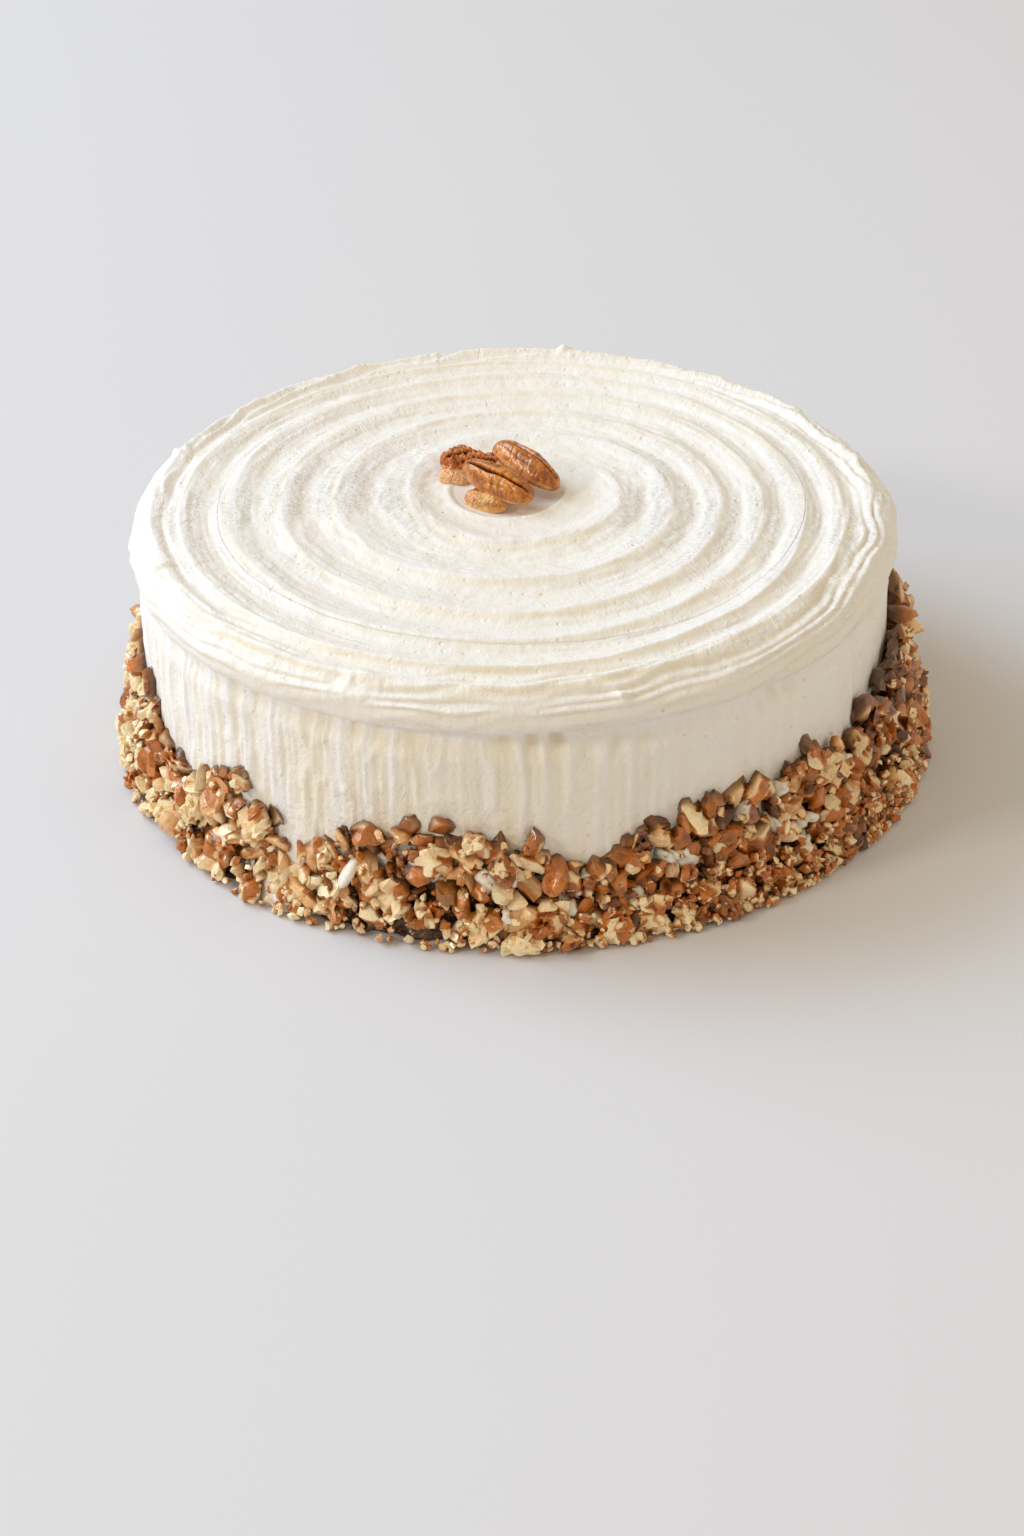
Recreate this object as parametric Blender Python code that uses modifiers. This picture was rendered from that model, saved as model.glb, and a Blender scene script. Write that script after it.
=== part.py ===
"""Hummingbird cake: a tall round cake under cream-cheese frosting, uncut.

The top is combed into one clockwise spiral swirl that opens from a flat disc in the middle. A small
smooth dish of frosting there carries three pecan halves and a loose piece. The frosting ends in a soft
lip over a wall of upright spatula strokes, and a border of chopped pecans and walnuts is pressed round
the foot. +Z is up, the origin is the middle of the underside, and -Y is the front.
"""

import math
import random

import bmesh
import bpy
import numpy as np
from mathutils import Euler, Matrix, Vector

TAU = 2 * math.pi

# Driving dimensions, in metres
CAKE_HEIGHT = 0.078  # underside to the swirl's crests
LIP_RADIUS = 0.1150  # widest reach of the lip
LIP_TOP = 0.0690  # where the rounded top edge turns upright
LIP_EDGE = 0.0640  # lower edge of the lip
WALL_RADIUS = 0.1132  # wall right under the lip
FOOT_FLARE = 0.0032  # how far the wall widens down to the foot
EDGE_ROUND = 0.0110  # reach of the rounded top edge, inwards from the lip
EDGE_STEPS = 4
CAKE_SEGMENTS = 64
RING_STEP = 0.0034  # spacing of the rings that carry the swirl

# Swirl: the ridge's radius at each quarter turn, clockwise from the right. It hugs the flat disc for
# half a turn, then opens, with wider grooves towards the front.
CREST_RADII = (
    0.0330, 0.0295, 0.0305, 0.0435,
    0.0480, 0.0525, 0.0530, 0.0590,
    0.0625, 0.0710, 0.0695, 0.0745,
    0.0745, 0.0865, 0.0850, 0.0880,
    0.0870, 0.1010, 0.0995, 0.0970,
    0.0985, 0.1090, 0.1080, 0.1070,
    0.1085, 0.1200, 0.1200, 0.1200,
    0.1200,
)  # fmt: skip
SWIRL_TURNS = 6
GROOVE_DEPTH = 0.0026
GROOVE_ROUND = 1.7  # power of the scoop between two ridges
RIDGE_START = 0.86  # share of the first turn after which the ridge rises out of the disc
DISC_DEPTH = 0.0020
DISC_SLOPE = 0.0090

# Smooth dish in the middle
DISH_CENTRE = (-0.0014, 0.0050)
DISH_RADIUS = 0.0178
DISH_DEPTH = 0.0016
DISH_RIM = 0.0009  # height of its raised rim
DISH_RIM_WIDTH = 0.0022
MOUND_CENTRE = (-0.0030, 0.0070)  # the frosting rises here under the pecans
MOUND_HEIGHT = 0.0050
MOUND_RADIUS = 0.0095

# Broad upright strokes on the wall, and lumps along the lip
STROKES = 19
STROKE_DEPTH = 0.0005
LIP_LUMP = 0.0010

# Nut border: the height of its upper line at these angles, in degrees anticlockwise from the right
BORDER_LINE = (
    (-180, 0.034), (-160, 0.035), (-146, 0.021), (-133, 0.033), (-123, 0.015), (-113, 0.027),
    (-104, 0.033), (-90, 0.031), (-81, 0.019), (-74, 0.027), (-60, 0.035), (-50, 0.032),
    (-45, 0.038), (-36, 0.031), (-20, 0.040), (0, 0.043), (20, 0.038), (45, 0.028),
    (70, 0.034), (90, 0.026), (112, 0.032), (135, 0.025), (158, 0.036), (180, 0.034),
)  # fmt: skip
BORDER_TOP = 0.0044  # how far the border's face stands off the wall at its upper line
BORDER_FOOT = 0.0034  # how much farther it stands off at the foot, on the left
BORDER_FOOT_RIGHT = 0.0020  # and how much farther again on the right
CORE_INSET = 0.0036  # the core lies this far under the border's face
CORE_DROP = 0.0065  # the core's upper edge lies this far under the border's upper line
CORE_LEVELS = (1.0, 0.6, 0.25, 0.0)  # shares of the border's height
CORE_SEGMENTS = 40
CORE_ROOT = 0.1080  # inner radius of the core before the cake's clearance is cut from it

# Chopped nuts: (count, longest side), largest first
NUT_SIZES = ((42, 0.0145), (76, 0.0115), (30, 0.0088))
NUT_WIDTHS = (0.72, 0.95)  # range of a chunk's second side, as a share of its longest
NUT_HEIGHTS = (0.60, 0.80)  # range of its shortest side
NUT_SEED = 4
NUT_TRIES = 40
NUT_SUNK = 0.26  # how far a chunk's middle lies under the border's face, as a share of its longest side
FOOT_NUTS = ((-89.5, 0.1240, 0.0125), (-83.8, 0.1255, 0.0075))  # angle, radius, size of two at the foot

GAP = 0.00035  # clearance between neighbours

# Pecans: (length, width, thickness)
HALF_SIZE = (0.0262, 0.0106, 0.0085)
BROKEN_SIZE = (0.0200, 0.0115, 0.0076)
CHIP_SIZE = (0.0145, 0.0082, 0.0054)
PECAN_RINGS = 8
PECAN_SIDES = 16


# ---------------------------------------------------------------- collections, materials and meshes


def clear_scene():
    for item in list(bpy.data.objects):
        bpy.data.objects.remove(item, do_unlink=True)


def new_collection(name):
    collection = bpy.data.collections.new(name)
    bpy.context.scene.collection.children.link(collection)
    return collection


def principled(name, colour, roughness):
    """A plain Principled material of a linear RGB colour."""
    material = bpy.data.materials.new(name)
    material.use_nodes = True
    shader = material.node_tree.nodes["Principled BSDF"]
    shader.inputs["Base Color"].default_value = (*colour, 1.0)
    shader.inputs["Roughness"].default_value = roughness
    shader.inputs["Metallic"].default_value = 0.0
    return material


def add_object(name, mesh, collection, material=None):
    item = bpy.data.objects.new(name, mesh)
    collection.objects.link(item)
    if material:
        mesh.materials.clear()
        mesh.materials.append(material)
        mesh.shade_smooth()
    return item


def evaluated_copy(item, name):
    """The mesh of an object with its modifiers applied."""
    bpy.context.view_layer.update()
    mesh = bpy.data.meshes.new_from_object(item.evaluated_get(bpy.context.evaluated_depsgraph_get()))
    mesh.name = name
    return mesh


def turned(name, profile, segments, closed):
    """The mesh of an (r, z) profile turned about Z by a Screw modifier."""
    points = [(r, 0.0, z) for r, z in profile]
    edges = [(i, i + 1) for i in range(len(points) - 1)]
    if closed:
        edges.append((len(points) - 1, 0))
    outline = bpy.data.meshes.new(name + "_outline")
    outline.from_pydata(points, edges, [])
    item = add_object(name + "_outline", outline, bpy.context.scene.collection)
    screw = item.modifiers.new("turn", "SCREW")
    screw.axis = "Z"
    screw.angle = TAU
    screw.steps = screw.render_steps = segments
    screw.use_merge_vertices = True
    screw.merge_threshold = 0.00005
    mesh = evaluated_copy(item, name)
    bpy.data.objects.remove(item, do_unlink=True)
    return mesh


def moved(mesh, rule):
    """Moves every vertex of the mesh by a rule that takes and gives back an array of points."""
    points = np.empty(len(mesh.vertices) * 3)
    mesh.vertices.foreach_get("co", points)
    mesh.vertices.foreach_set("co", rule(points.reshape(-1, 3)).ravel())
    mesh.update()
    return mesh


def smooth_step(x):
    x = np.clip(x, 0.0, 1.0)
    return x * x * (3 - 2 * x)


def round_interpolation(knots, place):
    """Catmull-Rom curve through evenly spaced knots, read at a place counted in knots."""
    knots = np.asarray(knots)
    place = np.clip(place, 0.0, len(knots) - 1.0)
    left = np.minimum(place.astype(int), len(knots) - 2)
    u = place - left
    a, b, c, d = (knots[np.clip(left + step, 0, len(knots) - 1)] for step in (-1, 0, 1, 2))
    return b + 0.5 * u * (c - a + u * (2 * a - 5 * b + 4 * c - d + u * (3 * (b - c) + d - a)))


# ---------------------------------------------------------------- frosted cake


def crest_radius(turn):
    """Radius of the swirl's ridge after so many clockwise turns from the right."""
    return round_interpolation(CREST_RADII, 4 * np.asarray(turn, float))


def scoop(u):
    """Depth of a groove, 0 at its two ridges and 1 in the middle."""
    return 1 - np.abs(2 * u - 1) ** GROOVE_ROUND


def swirl_depth(r, theta):
    """How far the top lies below the crests at a radius and an angle."""
    turn = (-theta / TAU) % 1.0
    first = crest_radius(turn)
    disc = DISC_DEPTH * smooth_step((first - r) / DISC_SLOPE)
    start = crest_radius(turn - 1)
    inner = DISC_DEPTH * smooth_step((start - r) / DISC_SLOPE)
    opening = GROOVE_DEPTH * scoop(np.clip((r - start) / np.maximum(first - start, 1e-6), 0, 1))
    rise = smooth_step((turn - RIDGE_START) / (1 - RIDGE_START))
    depth = disc + rise * (np.where(r < start, inner, opening) - disc)
    for k in range(SWIRL_TURNS):
        low, high = crest_radius(turn + k), crest_radius(turn + k + 1)
        u = (r - low) / (high - low)
        depth = np.where((u >= 0) & (u < 1), GROOVE_DEPTH * scoop(np.clip(u, 0, 1)), depth)
    return depth


def dish_depth(x, y):
    """The smooth dish: a shallow bowl inside a raised rim, with a mound that the pecans are set in."""
    away = np.hypot(x - DISH_CENTRE[0], y - DISH_CENTRE[1])
    bowl = DISH_DEPTH * smooth_step((DISH_RADIUS - away) / (0.6 * DISH_RADIUS))
    rim = DISH_RIM * np.exp(-(((away - DISH_RADIUS) / DISH_RIM_WIDTH) ** 2))
    middle = np.hypot(x - MOUND_CENTRE[0], y - MOUND_CENTRE[1])
    return bowl - rim - MOUND_HEIGHT * np.exp(-((middle / MOUND_RADIUS) ** 2))


def lip_lump(theta):
    """Slow unevenness of the lip round the cake."""
    return LIP_LUMP * (0.5 * np.sin(5 * theta + 0.8) + 0.3 * np.sin(11 * theta + 2.1) + 0.2 * np.sin(23 * theta))


def frosted(points, clearance=0.0):
    """Combs the swirl, the dish, the lip and the strokes into a plain turned cake."""
    x, y, z = points.T
    r, theta = np.hypot(x, y), np.arctan2(y, x)
    top = smooth_step((z - LIP_TOP) / (CAKE_HEIGHT - LIP_TOP))
    side = (1 - top) * smooth_step((r - 0.9 * WALL_RADIUS) / (0.05 * WALL_RADIUS))
    at_lip = np.exp(-(((z - LIP_TOP) / 0.006) ** 2))
    stroke = STROKE_DEPTH * np.sin(STROKES * theta + 0.6 * np.sin(3 * theta)) * smooth_step((LIP_EDGE - z) / 0.01)
    reach = side * (lip_lump(theta) * at_lip + stroke + clearance)
    height = z - top * (swirl_depth(r, theta) + dish_depth(x, y) - clearance)
    scale = (r + reach) / np.maximum(r, 1e-9)
    return np.column_stack([x * scale, y * scale, height])


def cake_profile():
    """Half outline of the plain cake, from its axis at the top, down the outside, to its axis below."""
    edge_start = LIP_RADIUS - EDGE_ROUND
    rings = np.arange(DISH_RADIUS / 3, edge_start - RING_STEP / 2, RING_STEP)
    top = [(0.0, CAKE_HEIGHT)] + [(float(r), CAKE_HEIGHT) for r in rings]
    turn = np.linspace(0, math.pi / 2, EDGE_STEPS + 1)
    edge = [
        (edge_start + EDGE_ROUND * math.sin(a), CAKE_HEIGHT - (CAKE_HEIGHT - LIP_TOP) * (1 - math.cos(a)))
        for a in turn
    ]
    lip = [(LIP_RADIUS - 0.0004, LIP_EDGE + 0.0015), (WALL_RADIUS, LIP_EDGE - 0.0010)]
    wall = [(wall_radius(z), z) for z in (0.054, 0.041, 0.028, 0.015, 0.006, 0.0)]
    return top + edge + lip + wall + [(0.0, 0.0)]


def wall_radius(z):
    return WALL_RADIUS + FOOT_FLARE * (1 - z / LIP_EDGE) ** 2


def cake_mesh(name, clearance=0.0):
    mesh = turned(name, cake_profile(), CAKE_SEGMENTS, closed=False)
    return moved(mesh, lambda points: frosted(points, clearance))


def cake_clearance(collection):
    """The cake's shape a gap larger on its top, its wall and its base, to cut from what touches it."""
    mesh = cake_mesh("cake_clearance", GAP)
    moved(mesh, lambda points: points - np.where(points[:, 2:] < 1e-5, [[0.0, 0.0, GAP]], 0.0))
    item = add_object("cake_clearance", mesh, collection)
    item.hide_render = True
    item.display_type = "WIRE"
    return item


# ---------------------------------------------------------------- Booleans


def boolean(item, other, operation):
    """Adds a Boolean with an object or with a whole collection."""
    step = item.modifiers.new(operation.lower(), "BOOLEAN")
    step.operation = operation
    if isinstance(other, bpy.types.Collection):
        step.operand_type = "COLLECTION"
        step.collection = other
    else:
        step.object = other


def apply_modifiers(item):
    mesh = evaluated_copy(item, item.name)
    item.modifiers.clear()
    item.data = mesh


def largest_body(item):
    """Drops the loose scraps that a cut leaves."""
    bm = bmesh.new()
    bm.from_mesh(item.data)
    bodies, seen = [], set()
    for start in bm.verts:
        if start in seen:
            continue
        body, todo = [], [start]
        seen.add(start)
        while todo:
            vert = todo.pop()
            body.append(vert)
            for edge in vert.link_edges:
                other = edge.other_vert(vert)
                if other not in seen:
                    seen.add(other)
                    todo.append(other)
        bodies.append(body)
    keep = max(bodies, key=len)
    bmesh.ops.delete(bm, geom=[v for body in bodies if body is not keep for v in body], context="VERTS")
    bm.to_mesh(item.data)
    bm.free()


# ---------------------------------------------------------------- nut border


def border_height(theta):
    """Height of the border's upper line at an angle in radians."""
    angles, heights = zip(*BORDER_LINE)
    turned_angle = (np.degrees(theta) + 180) % 360 - 180
    return np.interp(turned_angle, angles, heights)


def border_reach(theta):
    """How far the border's foot reaches beyond the wall."""
    return BORDER_FOOT + BORDER_FOOT_RIGHT * 0.5 * (1 + np.cos(theta + 0.6))


def border_radius(theta, level):
    """Radius of the border's face at a share of its height: steep against the wall, spread at the foot."""
    z = level * border_height(theta)
    return wall_radius(z) + BORDER_TOP + border_reach(theta) * (1 - level) ** 1.4


def core_points(points):
    """Gives a plain ring the border's uneven height and foot."""
    x, y, level = points.T
    r, theta = np.hypot(x, y), np.arctan2(y, x)
    face = border_radius(theta, level) - CORE_INSET
    radius = np.where(r > CORE_ROOT + 1e-4, face, CORE_ROOT)
    height = (border_height(theta) - CORE_DROP) * level
    return np.column_stack([radius * np.cos(theta), radius * np.sin(theta), height])


def nut_places(rng):
    """(point on the border's face, longest side) of each chunk, largest first and spread evenly."""
    places = []
    for count, size in NUT_SIZES:
        for _ in range(count):
            tries = [border_spot(rng.uniform(-math.pi, math.pi), rng.random()) for _ in range(NUT_TRIES)]
            room = [
                min(((spot - other).length - 0.5 * (size + taken) for other, taken in places), default=0.0)
                for spot in tries
            ]
            places.append((tries[room.index(max(room))], size * rng.uniform(0.85, 1.15)))
    return places


def border_spot(theta, level):
    """The point on the border's face at an angle and a share of its height."""
    r = float(border_radius(theta, level))
    return Vector((r * math.cos(theta), r * math.sin(theta), float(border_height(theta)) * level))


def add_chunk(name, centre, size, rng, collection):
    """A broken nut: a few flat sides round a lump a little longer than wide."""
    mesh = bpy.data.meshes.new(name)
    bm = bmesh.new()
    bmesh.ops.create_icosphere(bm, subdivisions=1, radius=0.5)
    for vert in bm.verts:
        vert.co *= rng.uniform(0.82, 1.18)
    turn = Euler([rng.uniform(0, TAU) for _ in range(3)]).to_matrix().to_4x4()
    scale = Matrix.Diagonal((size, size * rng.uniform(*NUT_WIDTHS), size * rng.uniform(*NUT_HEIGHTS), 1.0))
    bm.transform(Matrix.Translation(centre) @ turn @ scale)
    lowest = min(vert.co.z for vert in bm.verts)
    if lowest < 0:
        bmesh.ops.translate(bm, verts=bm.verts, vec=(0, 0, -lowest))
    bm.to_mesh(mesh)
    bm.free()
    return add_object(name, mesh, collection)


def add_nut_border(parts, clearance, material):
    """The ring of chopped nuts as one body out to its uneven outline."""
    outer = [(CORE_ROOT + 0.01, level) for level in CORE_LEVELS]
    inner = [(CORE_ROOT, level) for level in (0.0, 1.0)]
    ring = moved(turned("nut_border", outer + inner, CORE_SEGMENTS, closed=True), core_points)
    border = add_object("nut_border", ring, parts, material)
    rng = random.Random(NUT_SEED)
    chunks = new_collection("nut_chunks")
    for index, (spot, size) in enumerate(nut_places(rng)):
        inward = -Vector((spot.x, spot.y, 0.0)).normalized()
        add_chunk(f"nut_{index}", spot + inward * (NUT_SUNK * size), size, rng, chunks)
    for index, (degrees, radius, size) in enumerate(FOOT_NUTS):
        theta = math.radians(degrees)
        centre = Vector((radius * math.cos(theta), radius * math.sin(theta), 0.3 * size))
        add_chunk(f"foot_nut_{index}", centre, size, rng, chunks)
    boolean(border, chunks, "UNION")
    apply_modifiers(border)
    boolean(border, clearance, "DIFFERENCE")
    apply_modifiers(border)
    for chunk in list(chunks.objects):
        bpy.data.objects.remove(chunk, do_unlink=True)
    bpy.data.collections.remove(chunks)
    largest_body(border)
    return border


# ---------------------------------------------------------------- pecans


def pecan_points(points, size, groove):
    """Shapes a unit sphere into a pecan half: two lobes along X with a groove between them on top."""
    x, y, z = points.T
    length, width, thickness = size
    blunt = 1 - 0.10 * x
    lobes = 1 - groove * np.exp(-((y / 0.20) ** 2)) * smooth_step((z + 0.1) / 0.6) * (1 - 0.3 * x**2)
    wrinkle = 1 + 0.03 * np.sin(9 * x + 4 * np.abs(y))
    return np.column_stack([
        0.5 * length * x,
        0.5 * width * y * blunt * wrinkle,
        np.where(z > 0, 0.68, 0.32) * thickness * z * lobes * wrinkle,
    ])


def pecan_mesh(name, size, groove=0.42, ragged=0.0, seed=0):
    mesh = bpy.data.meshes.new(name)
    bm = bmesh.new()
    bmesh.ops.create_uvsphere(bm, u_segments=PECAN_SIDES, v_segments=PECAN_RINGS, radius=1.0,
                              matrix=Matrix.Rotation(math.pi / 2, 4, "Y"))
    rng = random.Random(seed)
    for vert in bm.verts:
        vert.co *= 1 + ragged * rng.uniform(-1, 1)
    bm.to_mesh(mesh)
    bm.free()
    return moved(mesh, lambda points: pecan_points(points, size, groove))


def lay(mesh, centre, along, up):
    """Turns a mesh so that its X points along and its Z as near up as it can, then moves it."""
    x_axis = Vector(along).normalized()
    y_axis = Vector(up).cross(x_axis).normalized()
    z_axis = x_axis.cross(y_axis)
    turn = Matrix((x_axis, y_axis, z_axis)).transposed().to_4x4()
    mesh.transform(Matrix.Translation(centre) @ turn)
    return mesh


def keep_clear(item, others, cutters):
    """Cuts from a pecan a slightly fatter copy of each neighbour that it leans on."""
    for other in others:
        fat = add_object(f"{item.name}_clear_of_{other.name}", other.data.copy(), cutters)
        fatten = fat.modifiers.new("fatten", "DISPLACE")
        fatten.strength = 1.2 * GAP
        fatten.mid_level = 0.0
        fat.hide_render = True
        fat.display_type = "WIRE"
        boolean(item, fat, "DIFFERENCE")
    apply_modifiers(item)
    largest_body(item)


def add_pecans(parts, cutters, clearance, materials):
    """Two whole halves and a broken one on the dish, and a pale piece under the front half."""
    skin, inside, pale = materials
    front = lay(pecan_mesh("pecan_front", HALF_SIZE), (-0.0040, -0.0003, 0.0819), (-20, 16, 3.2),
                (-0.15, -0.37, 0.92))
    right = lay(pecan_mesh("pecan_right", HALF_SIZE, 0.30), (0.0044, 0.0090, 0.0822), (-18.6, 18, 5.5),
                (0.40, 0.14, 0.91))
    left = lay(pecan_mesh("pecan_left", BROKEN_SIZE, -0.2, 0.10, 3), (-0.0120, 0.0150, 0.0808), (18, -2, 1),
               (-0.1, -0.5, 0.85))
    chip = lay(pecan_mesh("pecan_chip", CHIP_SIZE, 0.0, 0.07, 5), (-0.0072, -0.0050, 0.0777), (15, -8, -1.2),
               (-0.1, -0.4, 1))
    laid = []
    for mesh, material in ((front, skin), (right, skin), (left, inside), (chip, pale)):
        item = add_object(mesh.name, mesh, parts, material)
        boolean(item, clearance, "DIFFERENCE")
        keep_clear(item, laid, cutters)
        laid.append(item)
    return laid


# ---------------------------------------------------------------- the whole


def main():
    clear_scene()
    parts = new_collection("hummingbird_cake")
    cutters = new_collection("cutters")
    frosting = principled("frosting_cream", (0.86, 0.82, 0.70), 0.5)
    nuts = principled("chopped_nuts", (0.35, 0.17, 0.06), 0.45)
    skin = principled("pecan_skin", (0.33, 0.13, 0.035), 0.4)
    inside = principled("pecan_inside", (0.30, 0.10, 0.05), 0.55)
    pale = principled("pecan_pale", (0.55, 0.28, 0.09), 0.3)

    add_object("frosted_cake", cake_mesh("frosted_cake"), parts, frosting)
    clearance = cake_clearance(cutters)
    add_nut_border(parts, clearance, nuts)
    add_pecans(parts, cutters, clearance, (skin, inside, pale))


main()
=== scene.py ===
"""Looks of the hummingbird cake: combed frosting, a border of chopped nuts and a cluster of pecans.

Every length is in metres. The cake stands on z = 0 with its axis on x = y = 0 and its front towards -Y.
"""

import logging
import math
import random
from dataclasses import dataclass, field
from enum import Enum

import bmesh
import bpy
import numpy as np
from mathutils import Matrix, Vector


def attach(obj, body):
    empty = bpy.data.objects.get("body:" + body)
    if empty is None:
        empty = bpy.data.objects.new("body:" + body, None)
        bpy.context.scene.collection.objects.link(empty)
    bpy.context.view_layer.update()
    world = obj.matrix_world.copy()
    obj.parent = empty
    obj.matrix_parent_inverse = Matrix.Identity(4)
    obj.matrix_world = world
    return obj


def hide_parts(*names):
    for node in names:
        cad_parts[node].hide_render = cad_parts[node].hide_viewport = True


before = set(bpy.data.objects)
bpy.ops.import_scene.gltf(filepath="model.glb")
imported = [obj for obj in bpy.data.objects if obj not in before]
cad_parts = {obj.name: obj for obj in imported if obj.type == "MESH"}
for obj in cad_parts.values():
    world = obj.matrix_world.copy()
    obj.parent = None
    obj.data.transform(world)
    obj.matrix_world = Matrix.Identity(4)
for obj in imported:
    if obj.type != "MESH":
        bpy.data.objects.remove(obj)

TAU = 2 * math.pi
GOLDEN = 0.6180339887
Colour = tuple[float, float, float]
Place = tuple[float, float, float]
LOG = logging.getLogger("hummingbird_cake")


# ---------------------------------------------------------------- numbers and noise


def smooth_step(x: np.ndarray) -> np.ndarray:
    """A soft ramp from 0 at x = 0 to 1 at x = 1: 3x^2 - 2x^3, held flat outside."""
    x = np.clip(x, 0.0, 1.0)
    return x * x * (3 - 2 * x)


def bell(x: np.ndarray) -> np.ndarray:
    """A bump of height 1 at x = 0 that fades within about 2: exp(-x^2)."""
    return np.exp(-np.square(x))


def round_interpolation(knots: tuple[float, ...], place: np.ndarray) -> np.ndarray:
    """A Catmull-Rom curve through evenly spaced knots.

    Args:
        knots: values at the whole numbers.
        place: where to read the curve, counted in knots.

    Returns:
        The curve's value at each place.
    """
    values = np.asarray(knots)
    place = np.clip(place, 0.0, len(values) - 1.0)
    left = np.minimum(place.astype(int), len(values) - 2)
    u = place - left
    a, b, c, d = (values[np.clip(left + step, 0, len(values) - 1)] for step in (-1, 0, 1, 2))
    return b + 0.5 * u * (c - a + u * (2 * a - 5 * b + 4 * c - d + u * (3 * (b - c) + d - a)))


@dataclass(frozen=True)
class Lattice:
    """Smooth noise between -1 and 1 from a table of seeded values that repeats both ways."""

    seed: int
    columns: int = 64
    rows: int = 64

    def read(self, u: np.ndarray, v: np.ndarray) -> np.ndarray:
        """Blends the four table values round each place with soft ramps.

        Args:
            u: place along the columns, in cells.
            v: place along the rows, in cells.

        Returns:
            The noise at each place.
        """
        table = np.random.default_rng(self.seed).uniform(-1, 1, (self.rows, self.columns))
        column, row = np.floor(u).astype(int), np.floor(v).astype(int)
        across, down = smooth_step(u - column), smooth_step(v - row)
        left, right = column % self.columns, (column + 1) % self.columns
        upper, lower = row % self.rows, (row + 1) % self.rows
        first = table[upper, left] * (1 - across) + table[upper, right] * across
        second = table[lower, left] * (1 - across) + table[lower, right] * across
        return first * (1 - down) + second * down


def plane_noise(seed: int, x: np.ndarray, y: np.ndarray, cell: float, octaves: int = 3) -> np.ndarray:
    """Adds octaves of lattice noise, each half as large and twice as fine as the one before.

    Args:
        seed: seed of the first octave's table.
        x: place along the columns, in metres.
        y: place along the rows, in metres.
        cell: width of the first octave's cells.
        octaves: how many are added.

    Returns:
        The noise at each place.
    """
    total = np.zeros_like(x)
    for k in range(octaves):
        total += Lattice(seed + k).read(x / cell * 2**k + 9.3 * k, y / cell * 2**k) / 2**k
    return total


def arc_noise(
    seed: int, r: np.ndarray, theta: np.ndarray, along: np.ndarray, arc_cell: float, along_cell: float,
    slant: float = 0.0,
) -> np.ndarray:
    """Noise whose cells keep one width along the arc at every radius.

    The number of cells round the circle doubles as the radius grows, and two counts are blended between.

    Args:
        seed: first seed of the tables.
        r: radius of each point.
        theta: angle of each point.
        along: the second coordinate, such as the radius or the height.
        arc_cell: width of a cell along the arc.
        along_cell: its length along the second coordinate.
        slant: cells of shift round the circle for each cell along.

    Returns:
        The noise at each point, between -1 and 1.
    """
    base, levels = 48, 6
    level = np.clip(np.log2(np.maximum(r, 1e-4) * TAU / (arc_cell * base)), 0, levels - 1)
    total = np.zeros_like(r)
    for k in range(levels):
        weight = np.clip(1 - np.abs(level - k), 0, 1)
        columns = base * 2**k
        row = along / along_cell
        total += weight * Lattice(seed + k, columns).read(theta / TAU * columns + slant * row, row)
    return total


# ---------------------------------------------------------------- meshes


def quad_faces(rows: int, columns: int, close_rows: bool) -> np.ndarray:
    """Quads of a grid that closes on itself along its columns, and along its rows where asked.

    Args:
        rows: number of rows.
        columns: number of columns.
        close_rows: whether the last row joins the first.

    Returns:
        An (m, 4) array of vertex numbers.
    """
    row = np.arange(rows if close_rows else rows - 1)[:, None]
    column = np.arange(columns)[None, :]
    below, right = (row + 1) % rows, (column + 1) % columns
    row, below = row * columns, below * columns
    quad = (row + column, below + column, below + right, row + right)
    return np.stack([np.broadcast_to(corner, (len(row), columns)) for corner in quad], axis=-1).reshape(-1, 4)


def new_mesh(name: str, points: np.ndarray, faces: list[np.ndarray], crisp: float = 180.0) -> bpy.types.Mesh:
    """Makes a smooth mesh of points and of faces given as blocks of one size each.

    Args:
        name: the mesh's name.
        points: an (n, 3) array.
        faces: arrays of shape (m, 3) or (m, 4).
        crisp: edges bent by more degrees than this aren't smoothed.

    Returns:
        The mesh.
    """
    mesh = bpy.data.meshes.new(name)
    loops = np.concatenate([block.ravel() for block in faces]).astype(np.int32)
    counts = np.concatenate([np.full(len(block), block.shape[1]) for block in faces])
    mesh.vertices.add(len(points))
    mesh.vertices.foreach_set("co", points.astype(np.float32).ravel())
    mesh.loops.add(len(loops))
    mesh.loops.foreach_set("vertex_index", loops)
    mesh.polygons.add(len(counts))
    mesh.polygons.foreach_set("loop_start", np.concatenate([[0], np.cumsum(counts)[:-1]]).astype(np.int32))
    mesh.polygons.foreach_set("use_smooth", np.ones(len(counts), bool))
    mesh.update(calc_edges=True)
    mesh.validate()
    if crisp < 180.0:
        mesh.set_sharp_from_angle(angle=math.radians(crisp))
    return mesh


def turned_mesh(name: str, grid: np.ndarray, poles: bool) -> bpy.types.Mesh:
    """Closes a (rows, columns, 3) grid into a skin.

    With poles, the first and last rows each lie at one point, which becomes a single vertex with a fan of
    triangles. Without, the last row joins the first, as on a ring.

    Args:
        name: the mesh's name.
        grid: the points.
        poles: whether the first and last rows are poles.

    Returns:
        The closed mesh.
    """
    rows, columns = grid.shape[:2]
    if not poles:
        return new_mesh(name, grid.reshape(-1, 3), [quad_faces(rows, columns, True)])
    inner = grid[1:-1]
    points = np.concatenate([inner.reshape(-1, 3), grid[:1, 0], grid[-1:, 0]])
    count = inner.shape[0] * columns
    ring = np.arange(columns)
    after = (ring + 1) % columns
    first = np.stack([np.full(columns, count), ring, after], axis=1)
    last = np.stack([np.full(columns, count + 1), count - columns + after, count - columns + ring], axis=1)
    return new_mesh(name, points, [quad_faces(rows - 2, columns, False), first, last])


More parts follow.
